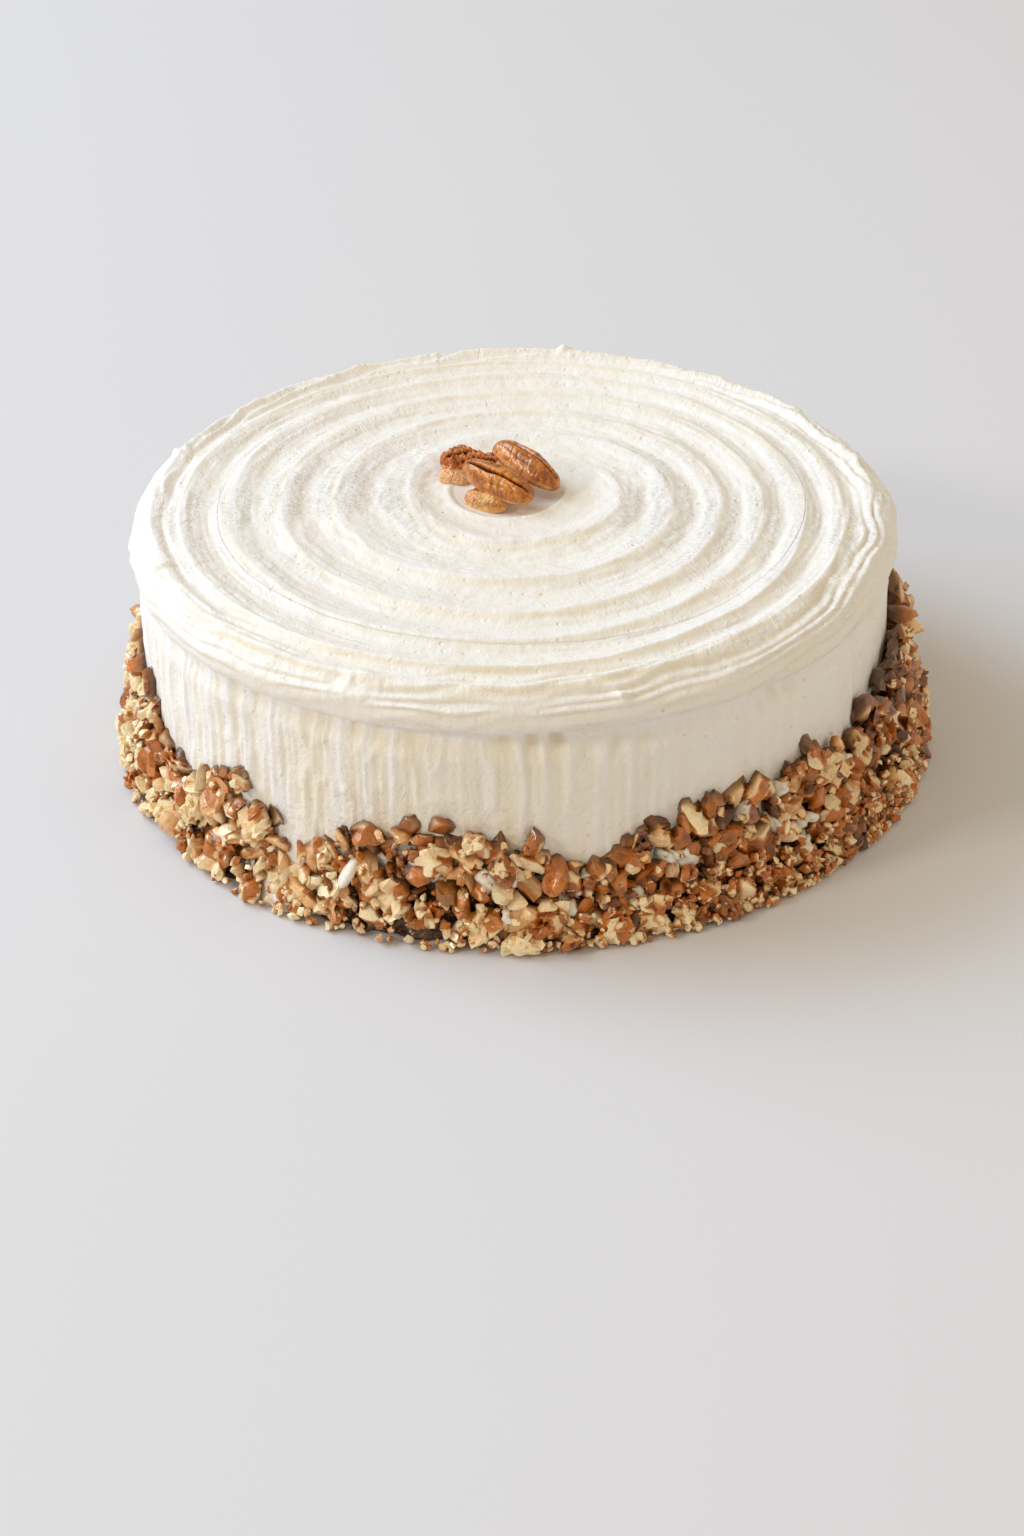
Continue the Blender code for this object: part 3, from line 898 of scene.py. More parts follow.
@dataclass
class FrostedTop:
    """The combed top with its rounded edge and its lip, in two pieces that meet on a circle."""

    shape: CakeShape = field(default_factory=CakeShape)
    swirl: Swirl = field(default_factory=Swirl)
    dish: Dish = field(default_factory=Dish)
    joint: float = 0.0880
    tuck: float = 0.0060
    hidden_floor: float = 0.0655
    # The lip's face and under side: radius, height, outward and upward part of the normal, how far it shows.
    lip: tuple[tuple[float, float, float, float, float], ...] = (
        (0.1152, 0.0680, 1.0, 0.0, 1.0), (0.1152, 0.0670, 1.0, 0.0, 1.0), (0.1149, 0.0659, 0.9, -0.3, 0.9),
        (0.1144, 0.0648, 0.7, -0.6, 0.7), (0.1136, 0.0641, 0.4, -0.8, 0.4), (0.1126, 0.0638, 0.1, -0.9, 0.1),
    )  # fmt: skip
    inner_segments: int = 696
    inner_rings: int = 138
    rim_segments: int = 1080
    rim_rings: int = 46
    edge_rings: int = 32
    tear: float = 0.00026
    comb_line: float = 0.00022
    lump: float = 0.00022
    curd: float = 0.00005
    ledge: float = 0.00084
    ledge_cell: float = 0.0043
    ledge_slant: int = 15
    crumb: float = 0.00042
    slim: float = 0.0015
    lip_start: float = 0.0700
    slow_hang: float = 0.0014
    quick_hang: float = 0.0007
    # Stray wisps on the rim: degrees round the cake, radius, height and width.
    wisps: tuple[tuple[float, float, float, float], ...] = (
        (161.3, 0.1085, 0.0030, 0.0030), (79.6, 0.1090, 0.0022, 0.0032), (-112.0, 0.1125, 0.0012, 0.0050),
        (-76.0, 0.1140, 0.0015, 0.0028), (-30.0, 0.1085, 0.0016, 0.0030), (12.0, 0.1090, 0.0017, 0.0034),
        (33.0, 0.1100, 0.0016, 0.0028), (118.0, 0.1080, 0.0014, 0.0040), (-158.0, 0.1090, 0.0014, 0.0036),
    )  # fmt: skip

    def inner_profile(self) -> Profile:
        """The top from its middle to the joint, then down and back inside the cake.

        Returns:
            The profile of the inner disc.
        """
        flat = np.linspace(0.0, self.joint, self.inner_rings)
        height = self.shape.height
        hidden_r = [self.joint + 0.0004, self.joint + 0.0005, 0.0]
        hidden_z = [height - self.tuck, self.hidden_floor, self.hidden_floor]
        return Profile.join((flat, height, 0, 1, 1), (hidden_r, hidden_z, 0, 0, 0))

    def rim_profile(self) -> Profile:
        """The top from the joint, over the rounded edge and under the lip, then back inside the cake.

        Returns:
            The profile of the rim.
        """
        shape = self.shape
        edge_start = shape.lip_radius - shape.edge_round
        drop = shape.height - shape.lip_top
        flat = np.linspace(self.joint, edge_start, self.rim_rings, endpoint=False)
        a = np.linspace(0.0, math.pi / 2, self.edge_rings)
        out, up = np.sin(a) / shape.edge_round, np.cos(a) / drop
        norm = np.hypot(out, up)
        edge_r, edge_z = edge_start + shape.edge_round * np.sin(a), shape.height - drop * (1 - np.cos(a))
        return Profile.join(
            ([self.joint - 0.0010, self.joint - 0.0009], [0.0660, shape.height - self.tuck], 0, 0, 0),
            (flat, shape.height, 0, 1, 1),
            (edge_r, edge_z, out / norm, up / norm, 1),
            tuple(zip(*self.lip)),
            ([0.1105], [0.0646], 0, 0, 0),
        )

    def build(self, finish: FrostingFinish) -> list[bpy.types.Object]:
        """Makes the top.

        Args:
            finish: the frosting.

        Returns:
            The inner disc and the rim, each closed, with the swirl, its tearing and the smears in the mesh.
        """
        material = finish.build()
        made = []
        for name, profile, segments, poles in (
            ("frosting_swirl", self.inner_profile(), self.inner_segments, True),
            ("frosting_rim", self.rim_profile(), self.rim_segments, False),
        ):
            grid, cream_and_painted_shade, slick, tear = self.surface(profile, segments)
            mesh = turned_mesh(name, grid, poles)
            order = pole_values if poles else (lambda values: values.reshape(-1))
            paint(mesh, "relief", order(cream_and_painted_shade), order(slick), order(tear))
            made.append(show(mesh, material, "frosting", "frosted_cake"))
        return made

    def surface(self, profile: Profile, segments: int) -> tuple[np.ndarray, ...]:
        """Turns a profile and lays the comb's grooves and the relief on it.

        Each point sinks by the comb's depth and the dish's, which fade out over the rounded edge, and moves
        along the profile's normal by the relief. The creamier tint is painted shade: it grows with the depth,
        on the flanks beside each ridge, under the ledges and on the lip's face at the front. The dish gets an
        even share of it.

        Args:
            profile: the line that is turned.
            segments: points round each ring.

        Returns:
            (points, share of creamier painted shade, share of smooth dish, share of tearing).
        """
        r, angle = np.meshgrid(profile.r, self.shape.round_places(segments), indexing="ij")
        values = (profile.z, profile.out, profile.up, profile.shown)
        z, out, up, shown = (np.broadcast_to(value[:, None], r.shape) for value in values)
        x, y = r * np.cos(angle), r * np.sin(angle)
        top = smooth_step((z - self.shape.lip_top) / (self.shape.height - self.shape.lip_top)) * shown
        depth, across = self.swirl.comb(r, angle)
        slick = self.dish.inside(x, y) * shown
        face, tear, under = self.relief(r, angle, z, x, y, across, slick)
        sink = top * (depth + self.dish.sink(x, y))
        lip = self.shape.lip_share(angle)
        level = bell((z - self.shape.lip_top) / 0.006) * shown
        slim = self.slim * (1 - lip) * smooth_step((self.lip_start - z) / 0.003) * shown
        radius = r + shown * face * out + self.shape.lump(angle) * level - slim
        hang = self.lip_hang(angle) * smooth_step((self.lip_start - z) / 0.004) * shown
        height = z - sink + shown * face * up - hang
        points = np.stack([radius * np.cos(angle), radius * np.sin(angle), height], axis=-1)
        # Painted shade on the flanks: just outside each crest towards the front, just inside the next towards
        # the back, and weaker at the left, where the light falls.
        flank = bell((across - 0.09) / 0.08) * (0.35 + 0.65 * smooth_step(0.5 - 0.7 * np.sin(angle + 0.5)))
        flank = flank + bell((across - 0.90) / 0.07) * smooth_step(0.3 + 0.9 * np.sin(angle + 0.2))
        flank = flank * (1 - 0.35 * bell(self.turned(angle - math.pi) / 1.1))
        # Painted shade grows with the groove's depth, on those flanks and under the ledges.
        cream_and_painted_shade = np.clip(0.32 * sink / self.swirl.depth + 0.75 * flank + under, 0, 1)
        # Outside the dish only; the dish gets an even creamier tint, and the lip's face at the front more
        # painted shade.
        outside = smooth_step((r - 0.02) / 0.01)
        front = smooth_step(0.4 - 0.9 * np.sin(angle + 0.2))
        front_lip_shade = smooth_step((0.0735 - z) / 0.0025) * shown * front
        cream_and_painted_shade = np.clip(cream_and_painted_shade * outside + 0.35 * (1 - outside) + 0.42 * front_lip_shade, 0, 1)
        return points, cream_and_painted_shade, slick, tear * shown

    def relief(
        self, r: np.ndarray, angle: np.ndarray, z: np.ndarray, x: np.ndarray, y: np.ndarray,
        across: np.ndarray, slick: np.ndarray,
    ) -> tuple[np.ndarray, np.ndarray, np.ndarray]:
        """Small forms on the combed face: tearing on the grooves' flanks, comb lines, lumps, ledges, crumbs.

        A ledge is one tooth of a slanted, wavy saw wave along the profile: it rises over three quarters of
        its width and drops over the last quarter, as a smear of the spatula does.

        Args:
            r: radius of each point.
            angle: its angle.
            z: its height.
            x: its place across the cake.
            y: its place from front to back.
            across: where it lies between two ridges.
            slick: 1 in the smooth dish.

        Returns:
            (height of the relief in metres, share of tearing, share of painted shade under the ledges).
        """
        clear = (1 - slick) * smooth_step((r - 0.018) / 0.012)
        flank = bell((across - 0.24) / 0.16) + bell((across - 0.78) / 0.15)
        patch = smooth_step(0.60 + 0.9 * plane_noise(31, x, y, 0.022, 2))
        sides = 0.10 + 0.90 * np.square(np.cos(angle + 0.15))
        tear = np.clip(0.25 + flank, 0, 1) * patch * sides * clear * smooth_step((0.112 - r) / 0.008)
        strands = arc_noise(41, r, angle, r, 0.0016, 0.0050, slant=-0.8)
        fibres = arc_noise(51, r, angle, r, 0.0012, 0.0026, slant=-0.5)
        torn = np.power(1 - np.abs(strands), 3) - 0.35 + 0.6 * fibres
        lines = arc_noise(61, r, angle, r, 0.030, 0.0016) + 0.6 * arc_noise(66, r, angle, r, 0.014, 0.0010)
        path = (r - 0.099) + 0.9 * (self.shape.height - z)
        rim = smooth_step((path + 0.001) / 0.006)
        wave = 0.5 * arc_noise(71, r, angle, path, 0.060, 0.012)
        wave = wave + 0.10 * arc_noise(75, r, angle, path, 0.018, 0.008)
        tooth = (path / self.ledge_cell + self.ledge_slant * angle / TAU + wave) % 1.0
        ledge = smooth_step(tooth / 0.72) * smooth_step((1 - tooth) / 0.28)
        strength = 0.60 + 0.75 * arc_noise(85, r, angle, path, 0.028, 0.008)
        grit = plane_noise(81, x, y, 0.0030, 2)
        ragged = smooth_step((path - 0.002) / 0.006) * smooth_step((z - 0.0685) / 0.004)
        ragged = ragged * (0.35 + 0.65 * smooth_step(0.5 + 0.6 * np.sin(angle + 0.9)))
        lift = sum(
            height * bell(np.hypot(r - radius, radius * self.turned(angle - math.radians(degrees))) / width)
            for degrees, radius, height, width in self.wisps
        )
        face = (
            self.tear * tear * torn
            + self.comb_line * lines * clear
            + self.lump * plane_noise(91, x, y, 0.010, 3) * clear
            + self.curd * plane_noise(97, x, y, 0.0026, 2) * clear
            + self.ledge * (ledge - 0.4) * np.clip(strength, 0, 1.3) * rim
            + self.crumb * np.power(np.abs(grit), 1.5) * ragged
            + lift * (0.7 + 0.6 * grit) * smooth_step((z - 0.0705) / 0.0035)
        )
        # Painted shade under the foot of each ledge, strongest at the front and right.
        under = (bell((tooth - 0.95) / 0.07) + bell((tooth + 0.05) / 0.07)) * np.clip(strength, 0, 1) * rim
        under = under * (0.25 + 0.75 * smooth_step(0.5 - 0.8 * np.sin(angle - 0.5)))
        return face, np.clip(tear + 0.5 * ragged, 0, 1), under

    @staticmethod
    def turned(angle: np.ndarray) -> np.ndarray:
        """An angle brought between -pi and pi."""
        return (angle + math.pi) % TAU - math.pi

    def lip_hang(self, angle: np.ndarray) -> np.ndarray:
        """How far the lip's lower edge hangs down past its usual height.

        Args:
            angle: angle of each point.

        Returns:
            The hang in metres, slow noise and quick noise added.
        """
        level = np.full_like(angle, 0.5)
        slow = Lattice(95, 26, 4).read(angle / TAU * 26, level)
        quick = Lattice(96, 90, 4).read(angle / TAU * 90, level)
        return self.slow_hang * slow + self.quick_hang * quick


@dataclass
class FrostedWall:
    """The wall with its upright spatula strokes, its smeared foot and its flat underside."""

    shape: CakeShape = field(default_factory=CakeShape)
    segments: int = 1100
    rows: int = 82
    strokes: int = 62
    stroke_depth: float = 0.00122
    streaks: int = 210
    streak_depth: float = 0.00038
    fine_depth: float = 0.00020
    strand_depth: float = 0.00060
    pocket_depth: float = 0.00240
    skirt_angle: float = math.radians(-124)
    skirt_reach: float = 0.0055
    stroke_arch: float = 0.0600
    streak_arch: float = 0.0610
    arch_rise: float = 0.0060
    arch_sway: float = 0.0030
    arch_bow: float = 0.0045
    channel_power: float = 2.2
    channel_sharpness: float = 0.6
    pocket_drop: float = 0.0030
    pocket_size: float = 0.0034
    bulge: float = 0.0010
    slow_depth: float = 0.00045
    bit_height: float = 0.0011
    top: float = 0.0668
    hidden_top: float = 0.0674
    hidden_radius: float = 0.1085
    bottom_radius: float = 0.1120
    tuck: float = 0.0030
    tuck_start: float = 0.0645

    def build(self, finish: FrostingFinish) -> bpy.types.Object:
        """Makes the wall.

        Args:
            finish: the frosting.

        Returns:
            The piece, a closed drum whose upper end is hidden inside the lip.
        """
        heights = np.linspace(self.top, 0.0, self.rows)
        upper, lower = [0.0, self.hidden_radius], [self.bottom_radius, 0.0]
        ring_r = np.concatenate([upper, self.shape.wall(heights), lower])
        ring_z = np.concatenate([[self.hidden_top] * 2, heights, [0.0] * 2])
        r, angle = np.meshgrid(ring_r, self.shape.round_places(self.segments), indexing="ij")
        z = np.broadcast_to(ring_z[:, None], r.shape)
        side = np.zeros(len(ring_r))
        side[len(upper):-len(lower)] = 1.0
        offset, cream_and_painted_shade, torn = self.relief(r, angle, z)
        tuck = -self.tuck * smooth_step((z - self.tuck_start) / 0.002)
        radius = r + side[:, None] * (offset + tuck)
        grid = np.stack([radius * np.cos(angle), radius * np.sin(angle), z], axis=-1)
        mesh = turned_mesh("frosting_wall", grid, poles=True)
        paint(mesh, "relief", *(pole_values(v) for v in (cream_and_painted_shade, np.zeros_like(cream_and_painted_shade), torn)))
        return show(mesh, finish.build(), "frosting", "frosted_cake")

    def channel(
        self, angle: np.ndarray, z: np.ndarray, count: int, seed: int, arch_height: np.ndarray
    ) -> tuple[np.ndarray, np.ndarray, np.ndarray]:
        """Upright channels side by side, each starting under an arch that is highest in its middle.

        A channel's depth across its width f is a blend of 1 - |2f - 1|^p and a cosine. Slow noise leans and
        widens the channels.

        Args:
            angle: angle of each point.
            z: its height.
            count: channels round the cake.
            seed: seed of the noise.
            arch_height: usual height of an arch's middle.

        Returns:
            (share of depth, a number of each channel's own, a pocket just under its arch).
        """
        half = count // 2
        warp = Lattice(seed, half, 8).read(angle / TAU * half, z / 0.075 + 0.4)
        warp = warp + 0.16 * Lattice(seed + 7, half, 8).read(angle / TAU * half, z / 0.016)
        place = angle / TAU * count + warp
        index = np.floor(place)
        f = place - index
        own = Lattice(seed + 1, count, 8).read(index + 1e-6, 0 * z)
        arch = arch_height + self.arch_sway * own - self.arch_bow * np.square(2 * f - 1)
        wave = 0.5 - 0.5 * np.cos(TAU * f)
        curve = self.channel_sharpness * (1 - np.abs(2 * f - 1) ** self.channel_power)
        curve = curve + (1 - self.channel_sharpness) * wave
        pocket = wave * bell((arch - self.pocket_drop - z) / self.pocket_size)
        return curve * smooth_step((arch - z) / 0.003), own, pocket

    @staticmethod
    def share(angle: np.ndarray, start: float, width: float) -> np.ndarray:
        """A ramp from 0 at an angle to 1 a signed width farther on, on that side of the cake only."""
        turned = FrostedTop.turned(angle)
        return smooth_step((turned - start) / width) * (np.sign(turned) == np.sign(start))

    @staticmethod
    def near(angle: np.ndarray, degrees: float, width: float) -> np.ndarray:
        """A bell of a width in radians round an angle in degrees."""
        return bell(FrostedTop.turned(angle - math.radians(degrees)) / width)

    def relief(self, r: np.ndarray, angle: np.ndarray, z: np.ndarray) -> tuple[np.ndarray, ...]:
        """Strokes, fine streaks, torn bits, the foot's bulge and the skirt of frosting in the border's gap.

        The radius loses the depths of the strokes and streaks, which grow towards the left. It gains fine and
        slow noise, torn bits in a band at the front left, a bulge at the foot and a bell of frosting at the
        gap.

        Args:
            r: radius of each point.
            angle: its angle.
            z: its height.

        Returns:
            (offset of the radius, share of creamier painted shade, share of tearing).
        """
        level = np.full_like(angle, 0.5)
        left = self.share(angle, math.radians(-77), -0.30)
        left = np.maximum(left, self.share(angle, math.radians(100), 0.50))
        left = left * (0.45 + 0.55 * self.near(angle, -116, 0.60))
        rise = self.arch_rise * left
        broad, own, pocket = self.channel(angle, z, self.strokes, 101, self.stroke_arch + rise)
        narrow, _, _ = self.channel(angle, z, self.streaks, 105, self.streak_arch + rise)
        uneven = 0.72 + 0.70 * arc_noise(108, r, angle, z, 0.012, 0.014)
        deep = self.stroke_depth * (0.30 + 0.70 * left) * np.clip(0.60 + 0.90 * own, 0.0, 1.35) * uneven
        shallow = self.streak_depth * (0.30 + 0.70 * left)
        shallow = shallow * (0.8 + 0.6 * arc_noise(109, r, angle, z, 0.008, 0.014))
        fine = arc_noise(111, r, angle, z, 0.0016, 0.022) + 0.5 * arc_noise(118, r, angle, z, 0.0010, 0.009)
        slow = plane_noise(121, np.cos(angle) * 0.1, np.sin(angle) * 0.1 + z, 0.026, 2)
        front = self.near(angle, -98, 0.50)
        strands = np.power(1 - np.abs(arc_noise(137, r, angle, z, 0.0034, 0.0120)), 3) - 0.3
        band = bell((z - 0.036) / 0.012) * self.near(angle, -108, 0.30)
        bits = np.power(np.clip(arc_noise(125, r, angle, z, 0.0030, 0.0045), 0, 1), 1.5)
        foot = smooth_step((0.012 - z) / 0.012)
        bulge = self.bulge * foot * (1 + Lattice(131, 60, 4).read(angle / TAU * 60, level))
        skirt = bell(FrostedTop.turned(angle - self.skirt_angle) / 0.11) * smooth_step((0.027 - z) / 0.027)
        below = 1 - smooth_step((z - 0.0635) / 0.003)
        lip = self.shape.lip_share(angle)
        join = (0.0009 * (1 - lip) - 0.0026 * lip) * smooth_step((z - 0.055) / 0.006)
        offset = (
            (0.40 * deep - deep * broad - shallow * narrow) * (0.35 + 0.65 * below)
            - self.pocket_depth * pocket * (0.30 + 0.70 * front) * (0.75 + 0.5 * own)
            + self.fine_depth * fine
            + self.strand_depth * strands * (0.15 + 0.85 * left)
            + self.slow_depth * slow
            + self.bit_height * bits * band
            + bulge
            + self.skirt_reach * skirt * (0.9 + 0.25 * arc_noise(135, r, angle, z, 0.006, 0.006))
            + join
            + self.shape.lump(angle) * bell((z - 0.066) / 0.01)
        )
        # Painted shade in the strokes' channels, more at the left, and over the wall's front.
        cream_and_painted_shade = 0.8 * broad * (0.35 + 0.65 * left) + 0.35 * self.near(angle, -88, 0.40)
        return offset, np.clip(cream_and_painted_shade, 0, 1), 0.15 + 0.4 * band + 0.2 * left


# ---------------------------------------------------------------- nut border


@dataclass(frozen=True)
class BorderShape:
    """The outline of the nut border: its height round the cake, and how far its face stands off the wall."""

    # The upper line: degrees round the cake and height.
    line: tuple[tuple[float, float], ...] = (
        (-180, 0.034), (-160, 0.035), (-146, 0.021), (-133, 0.033), (-123, 0.015), (-113, 0.027),
        (-104, 0.033), (-90, 0.031), (-81, 0.019), (-74, 0.027), (-60, 0.035), (-50, 0.032),
        (-45, 0.038), (-36, 0.031), (-20, 0.040), (0, 0.043), (20, 0.038), (45, 0.028),
        (70, 0.034), (90, 0.026), (112, 0.032), (135, 0.025), (158, 0.036), (180, 0.034),
    )  # fmt: skip
    top: float = 0.0044
    foot: float = 0.0034
    foot_right: float = 0.0020
    push_reach: float = 0.0038
    push_angle: float = -0.15
    push_width: float = 0.62
    shape: CakeShape = field(default_factory=CakeShape)

    def height(self, theta: np.ndarray) -> np.ndarray:
        """Height of the border's upper line."""
        angles, heights = zip(*self.line)
        return np.interp((np.degrees(theta) + 180) % 360 - 180, angles, heights)

    def radius(self, theta: np.ndarray, level: np.ndarray) -> np.ndarray:
        """Radius of the border's face at a share of its height: the foot spreads with (1 - level)^1.4."""
        reach = self.foot + self.foot_right * 0.5 * (1 + np.cos(theta + 0.6))
        return self.shape.wall(level * self.height(theta)) + self.top + reach * (1 - level) ** 1.4

    def push(self, theta: np.ndarray) -> np.ndarray:
        """How much farther out the nuts lie at the right, a bell round the cake."""
        return self.push_reach * bell(FrostedTop.turned(theta - self.push_angle) / self.push_width)

    def spot(self, theta: float, level: float) -> Vector:
        """The point on the border's face at an angle and a share of its height."""
        r = float(self.radius(theta, level))
        return Vector((r * math.cos(theta), r * math.sin(theta), float(self.height(theta)) * level))


@dataclass(frozen=True)
class NutKind:
    """One kind of chopped nut: how its lump is cut and folded, its shares of width and height, its tone."""

    name: str
    subdivisions: int
    widths: tuple[float, float]
    heights: tuple[float, float]
    cuts: int
    cut_reach: tuple[float, float]
    folds: float
    darkness: float
    spread: float
    crisp: float = 34.0


class Nut(Enum):
    """The kinds of nut in the border, and the dabs of frosting, which are shaped in the same way."""

    CHUNK = NutKind("pecan_chunks", 3, (0.50, 0.78), (0.45, 0.68), 2, (0.18, 0.36), 0.55, 0.22, 0.80)
    WALNUT = NutKind("walnut_chunks", 3, (0.64, 0.94), (0.55, 0.80), 3, (0.24, 0.38), 0.80, -0.15, 0.36)
    PIECE = NutKind("nut_pieces", 2, (0.50, 0.88), (0.42, 0.72), 2, (0.22, 0.40), 0.50, 0.00, 0.90, 44.0)
    CHIP = NutKind("nut_chips", 2, (0.50, 0.85), (0.40, 0.68), 2, (0.18, 0.36), 0.30, 0.00, 0.90, 44.0)
    CRUMB = NutKind("nut_crumbs", 1, (0.70, 1.00), (0.60, 0.90), 2, (0.16, 0.30), 0.10, -0.05, 0.36)
    DAB = NutKind("frosting_dabs", 3, (0.6, 0.9), (0.4, 0.6), 0, (0, 1), 0.50, 0, 0, 180)


@dataclass
class NutBorder:
    """The border: a rough bed of ground nut, the real pieces over it, and dabs of frosting between them."""

    outline: BorderShape = field(default_factory=BorderShape)
    # Large chunks: how many, and their longest side.
    sizes: tuple[tuple[int, float], ...] = ((42, 0.0145), (76, 0.0115), (30, 0.0088))
    seed: int = 4
    tries: int = 40
    sunk: float = 0.26
    # Nuts lying at the foot: degrees round the cake, radius and longest side.
    foot_nuts: tuple[tuple[float, float, float], ...] = ((-89.5, 0.1240, 0.0125), (-83.8, 0.1255, 0.0075))
    walnut_share: float = 0.45
    pieces: int = 700
    piece_sizes: tuple[float, float] = (0.0078, 0.0128)
    piece_depths: tuple[float, float] = (0.0008, 0.0038)
    chips: int = 540
    chip_sizes: tuple[float, float] = (0.0040, 0.0070)
    chip_depths: tuple[float, float] = (0.0002, 0.0032)
    crumbs: int = 1500
    crumb_sizes: tuple[float, float] = (0.0016, 0.0036)
    crumb_depths: tuple[float, float] = (0.0000, 0.0024)
    dabs: int = 24
    dab_sizes: tuple[float, float] = (0.0070, 0.0130)
    dab_depths: tuple[float, float] = (0.0030, 0.0050)
    bed_segments: int = 900
    bed_rows: int = 46
    bed_inner: float = 0.1080
    bed_middle: float = 0.12
    bed_height: float = 0.034
    bed_lumps: tuple[float, float] = (0.0042, 0.0018)
    bed_relief: float = 0.0022
    bed_edge_relief: float = 0.0025
    bed_inset: float = 0.0054
    bed_drop: float = 0.0050
    # Painted shade in the gaps: how far under the border's face it starts, and how much deeper it is full.
    gap_start: float = 0.0016
    gap_depth: float = 0.0028
    waves: tuple[float, float, float, float] = (1.4, 2.4, 4.0, 7.0)
    swells: tuple[float, float, float] = (0.24, 0.18, 0.05)
    crease_power: float = 2.4
    # Tone of the lumps: painted shade darkens those at the right, and more bare flesh at the left stands
    # partly for painted light.
    darkness: float = -0.16
    right_painted_shade: float = 0.46
    bareness: float = -0.05
    left_flesh_and_painted_light: float = 0.82
    bareness_spread: float = 0.48

    def large_places(self) -> list[tuple[Vector, float]]:
        """Places the large chunks, largest first, each in the roomiest of a few random places.

        Returns:
            (point on the border's face, longest side) of each.
        """
        rng = random.Random(self.seed)
        places: list[tuple[Vector, float]] = []
        for count, size in self.sizes:
            for _ in range(count):
                spots = [
                    self.outline.spot(rng.uniform(-math.pi, math.pi), rng.random()) for _ in range(self.tries)
                ]
                room = [
                    min(((spot - far).length - 0.5 * (size + taken) for far, taken in places), default=0.0)
                    for spot in spots
                ]
                places.append((spots[room.index(max(room))], size * rng.uniform(0.85, 1.15)))
        return places

    def bed(self) -> bpy.types.Object:
        """Makes the rough bed of ground nut under the pieces.

        Its face is the border's, set back and roughened by the size of two noises.

        Returns:
            The piece, a closed ring against the wall.
        """
        theta = self.outline.shape.round_places(self.bed_segments)
        share, angle = np.meshgrid(np.linspace(1, 0, self.bed_rows), theta, indexing="ij")
        radius, up = np.full_like(angle, self.bed_middle), share * self.bed_height
        large, small = self.bed_lumps
        rough = np.abs(arc_noise(141, radius, angle, up, large, large))
        rough = rough + 0.5 * np.abs(arc_noise(151, radius, angle, up, small, small))
        face = self.outline.radius(angle, share) + self.outline.push(angle)
        face = face - self.bed_inset + self.bed_relief * (rough - 0.5)
        height = (self.outline.height(angle) - self.bed_drop + self.bed_edge_relief * (rough - 0.5)) * share
        inner = np.full((1, len(theta)), self.bed_inner)
        around = np.broadcast_to(theta, (len(share) + 2, len(theta)))
        radius = np.concatenate([face, inner, inner])
        z = np.concatenate([height, height[-1:], height[:1]])
        grid = np.stack([radius * np.cos(around), radius * np.sin(around), z], axis=-1)
        mesh = turned_mesh("nut_bed", grid, poles=False)
        rough = np.concatenate([rough, rough[-1:], rough[:1]]).reshape(-1)
        # Painted shade: the bed is painted dark and deep in the gaps nearly all over, as it lies in the shade
        # between the pieces.
        paint(mesh, "nut", np.clip(0.35 * rough, 0, 1), 0 * rough + 1.0, np.clip(1.1 - 0.3 * rough, 0, 1))
        return show(mesh, NutFinish("ground_nut_in_painted_shade").build(), "chopped_nuts", "nut_border")

    def build(self, frosting: FrostingFinish) -> list[bpy.types.Object]:
        """Makes the border's pieces, one mesh for each kind of nut and one of the dabs of frosting.

        Args:
            frosting: the finish of the dabs.

        Returns:
            The pieces.
        """
        rng = np.random.default_rng(self.seed)
        places = self.large_places()
        spots = np.array([spot[:] for spot, _ in places])
        sizes = np.array([size for _, size in places])
        outward = spots * np.array([1.0, 1.0, 0.0])
        outward /= np.linalg.norm(outward, axis=1, keepdims=True)
        centres = spots - outward * (self.sunk * sizes)[:, None]
        walnut = rng.random(len(centres)) < self.walnut_share
        for degrees, radius, size in self.foot_nuts:
            theta = math.radians(degrees)
            centres = np.vstack([centres, [radius * math.cos(theta), radius * math.sin(theta), 0.3 * size]])
            sizes = np.append(sizes, size)
            walnut = np.append(walnut, True)
        groups = {
            Nut.CHUNK: (centres[~walnut], sizes[~walnut]),
            Nut.WALNUT: (centres[walnut], sizes[walnut]),
            Nut.PIECE: self.scatter(rng, self.pieces, self.piece_sizes, self.piece_depths),
            Nut.CHIP: self.scatter(rng, self.chips, self.chip_sizes, self.chip_depths),
            Nut.CRUMB: self.crumb_places(rng),
        }
        made = [self.bed()]
        for kind, (where, size) in groups.items():
            mesh, cut, dark, deep = self.pieces_of(kind.value, where, size, rng)
            paint(mesh, "nut", cut, dark, deep)
            finish = NutFinish(kind.value.name + "_finish").build()
            made.append(show(mesh, finish, "chopped_nuts", "nut_border"))
        where, size = self.dab_places(rng)
        mesh, *_ = self.pieces_of(Nut.DAB.value, where, size, rng)
        count = len(mesh.vertices)
        # The dabs get a large share of the creamier painted shade, as they sit deep among the nuts.
        paint(mesh, "relief", np.full(count, 0.7), np.full(count, 0.3), np.full(count, 0.2))
        made.append(show(mesh, frosting.build(), "frosting", "nut_border"))
        return made

    def scatter(
        self, rng: np.random.Generator, count: int, sizes: tuple[float, float], under: tuple[float, float]
    ) -> tuple[np.ndarray, np.ndarray]:
        """Places smaller pieces evenly over the border's face: their heights step on by the golden ratio.

        Args:
            rng: the seeded generator.
            count: how many.
            sizes: least and greatest of their longest sides.
            under: least and greatest depth of their middles under the face.

        Returns:
            (centres, longest sides).
        """
        theta = (np.arange(count) + rng.random(count)) / count * TAU
        level = (np.arange(count) * GOLDEN + 0.25 * rng.random(count)) % 1.0
        size = rng.uniform(*sizes, count)
        radius = self.outline.radius(theta, level) - rng.uniform(*under, count) - 0.25 * size
        z = self.outline.height(theta) * level * 0.97 + 0.20 * size
        return on_rings(theta, radius, z), size

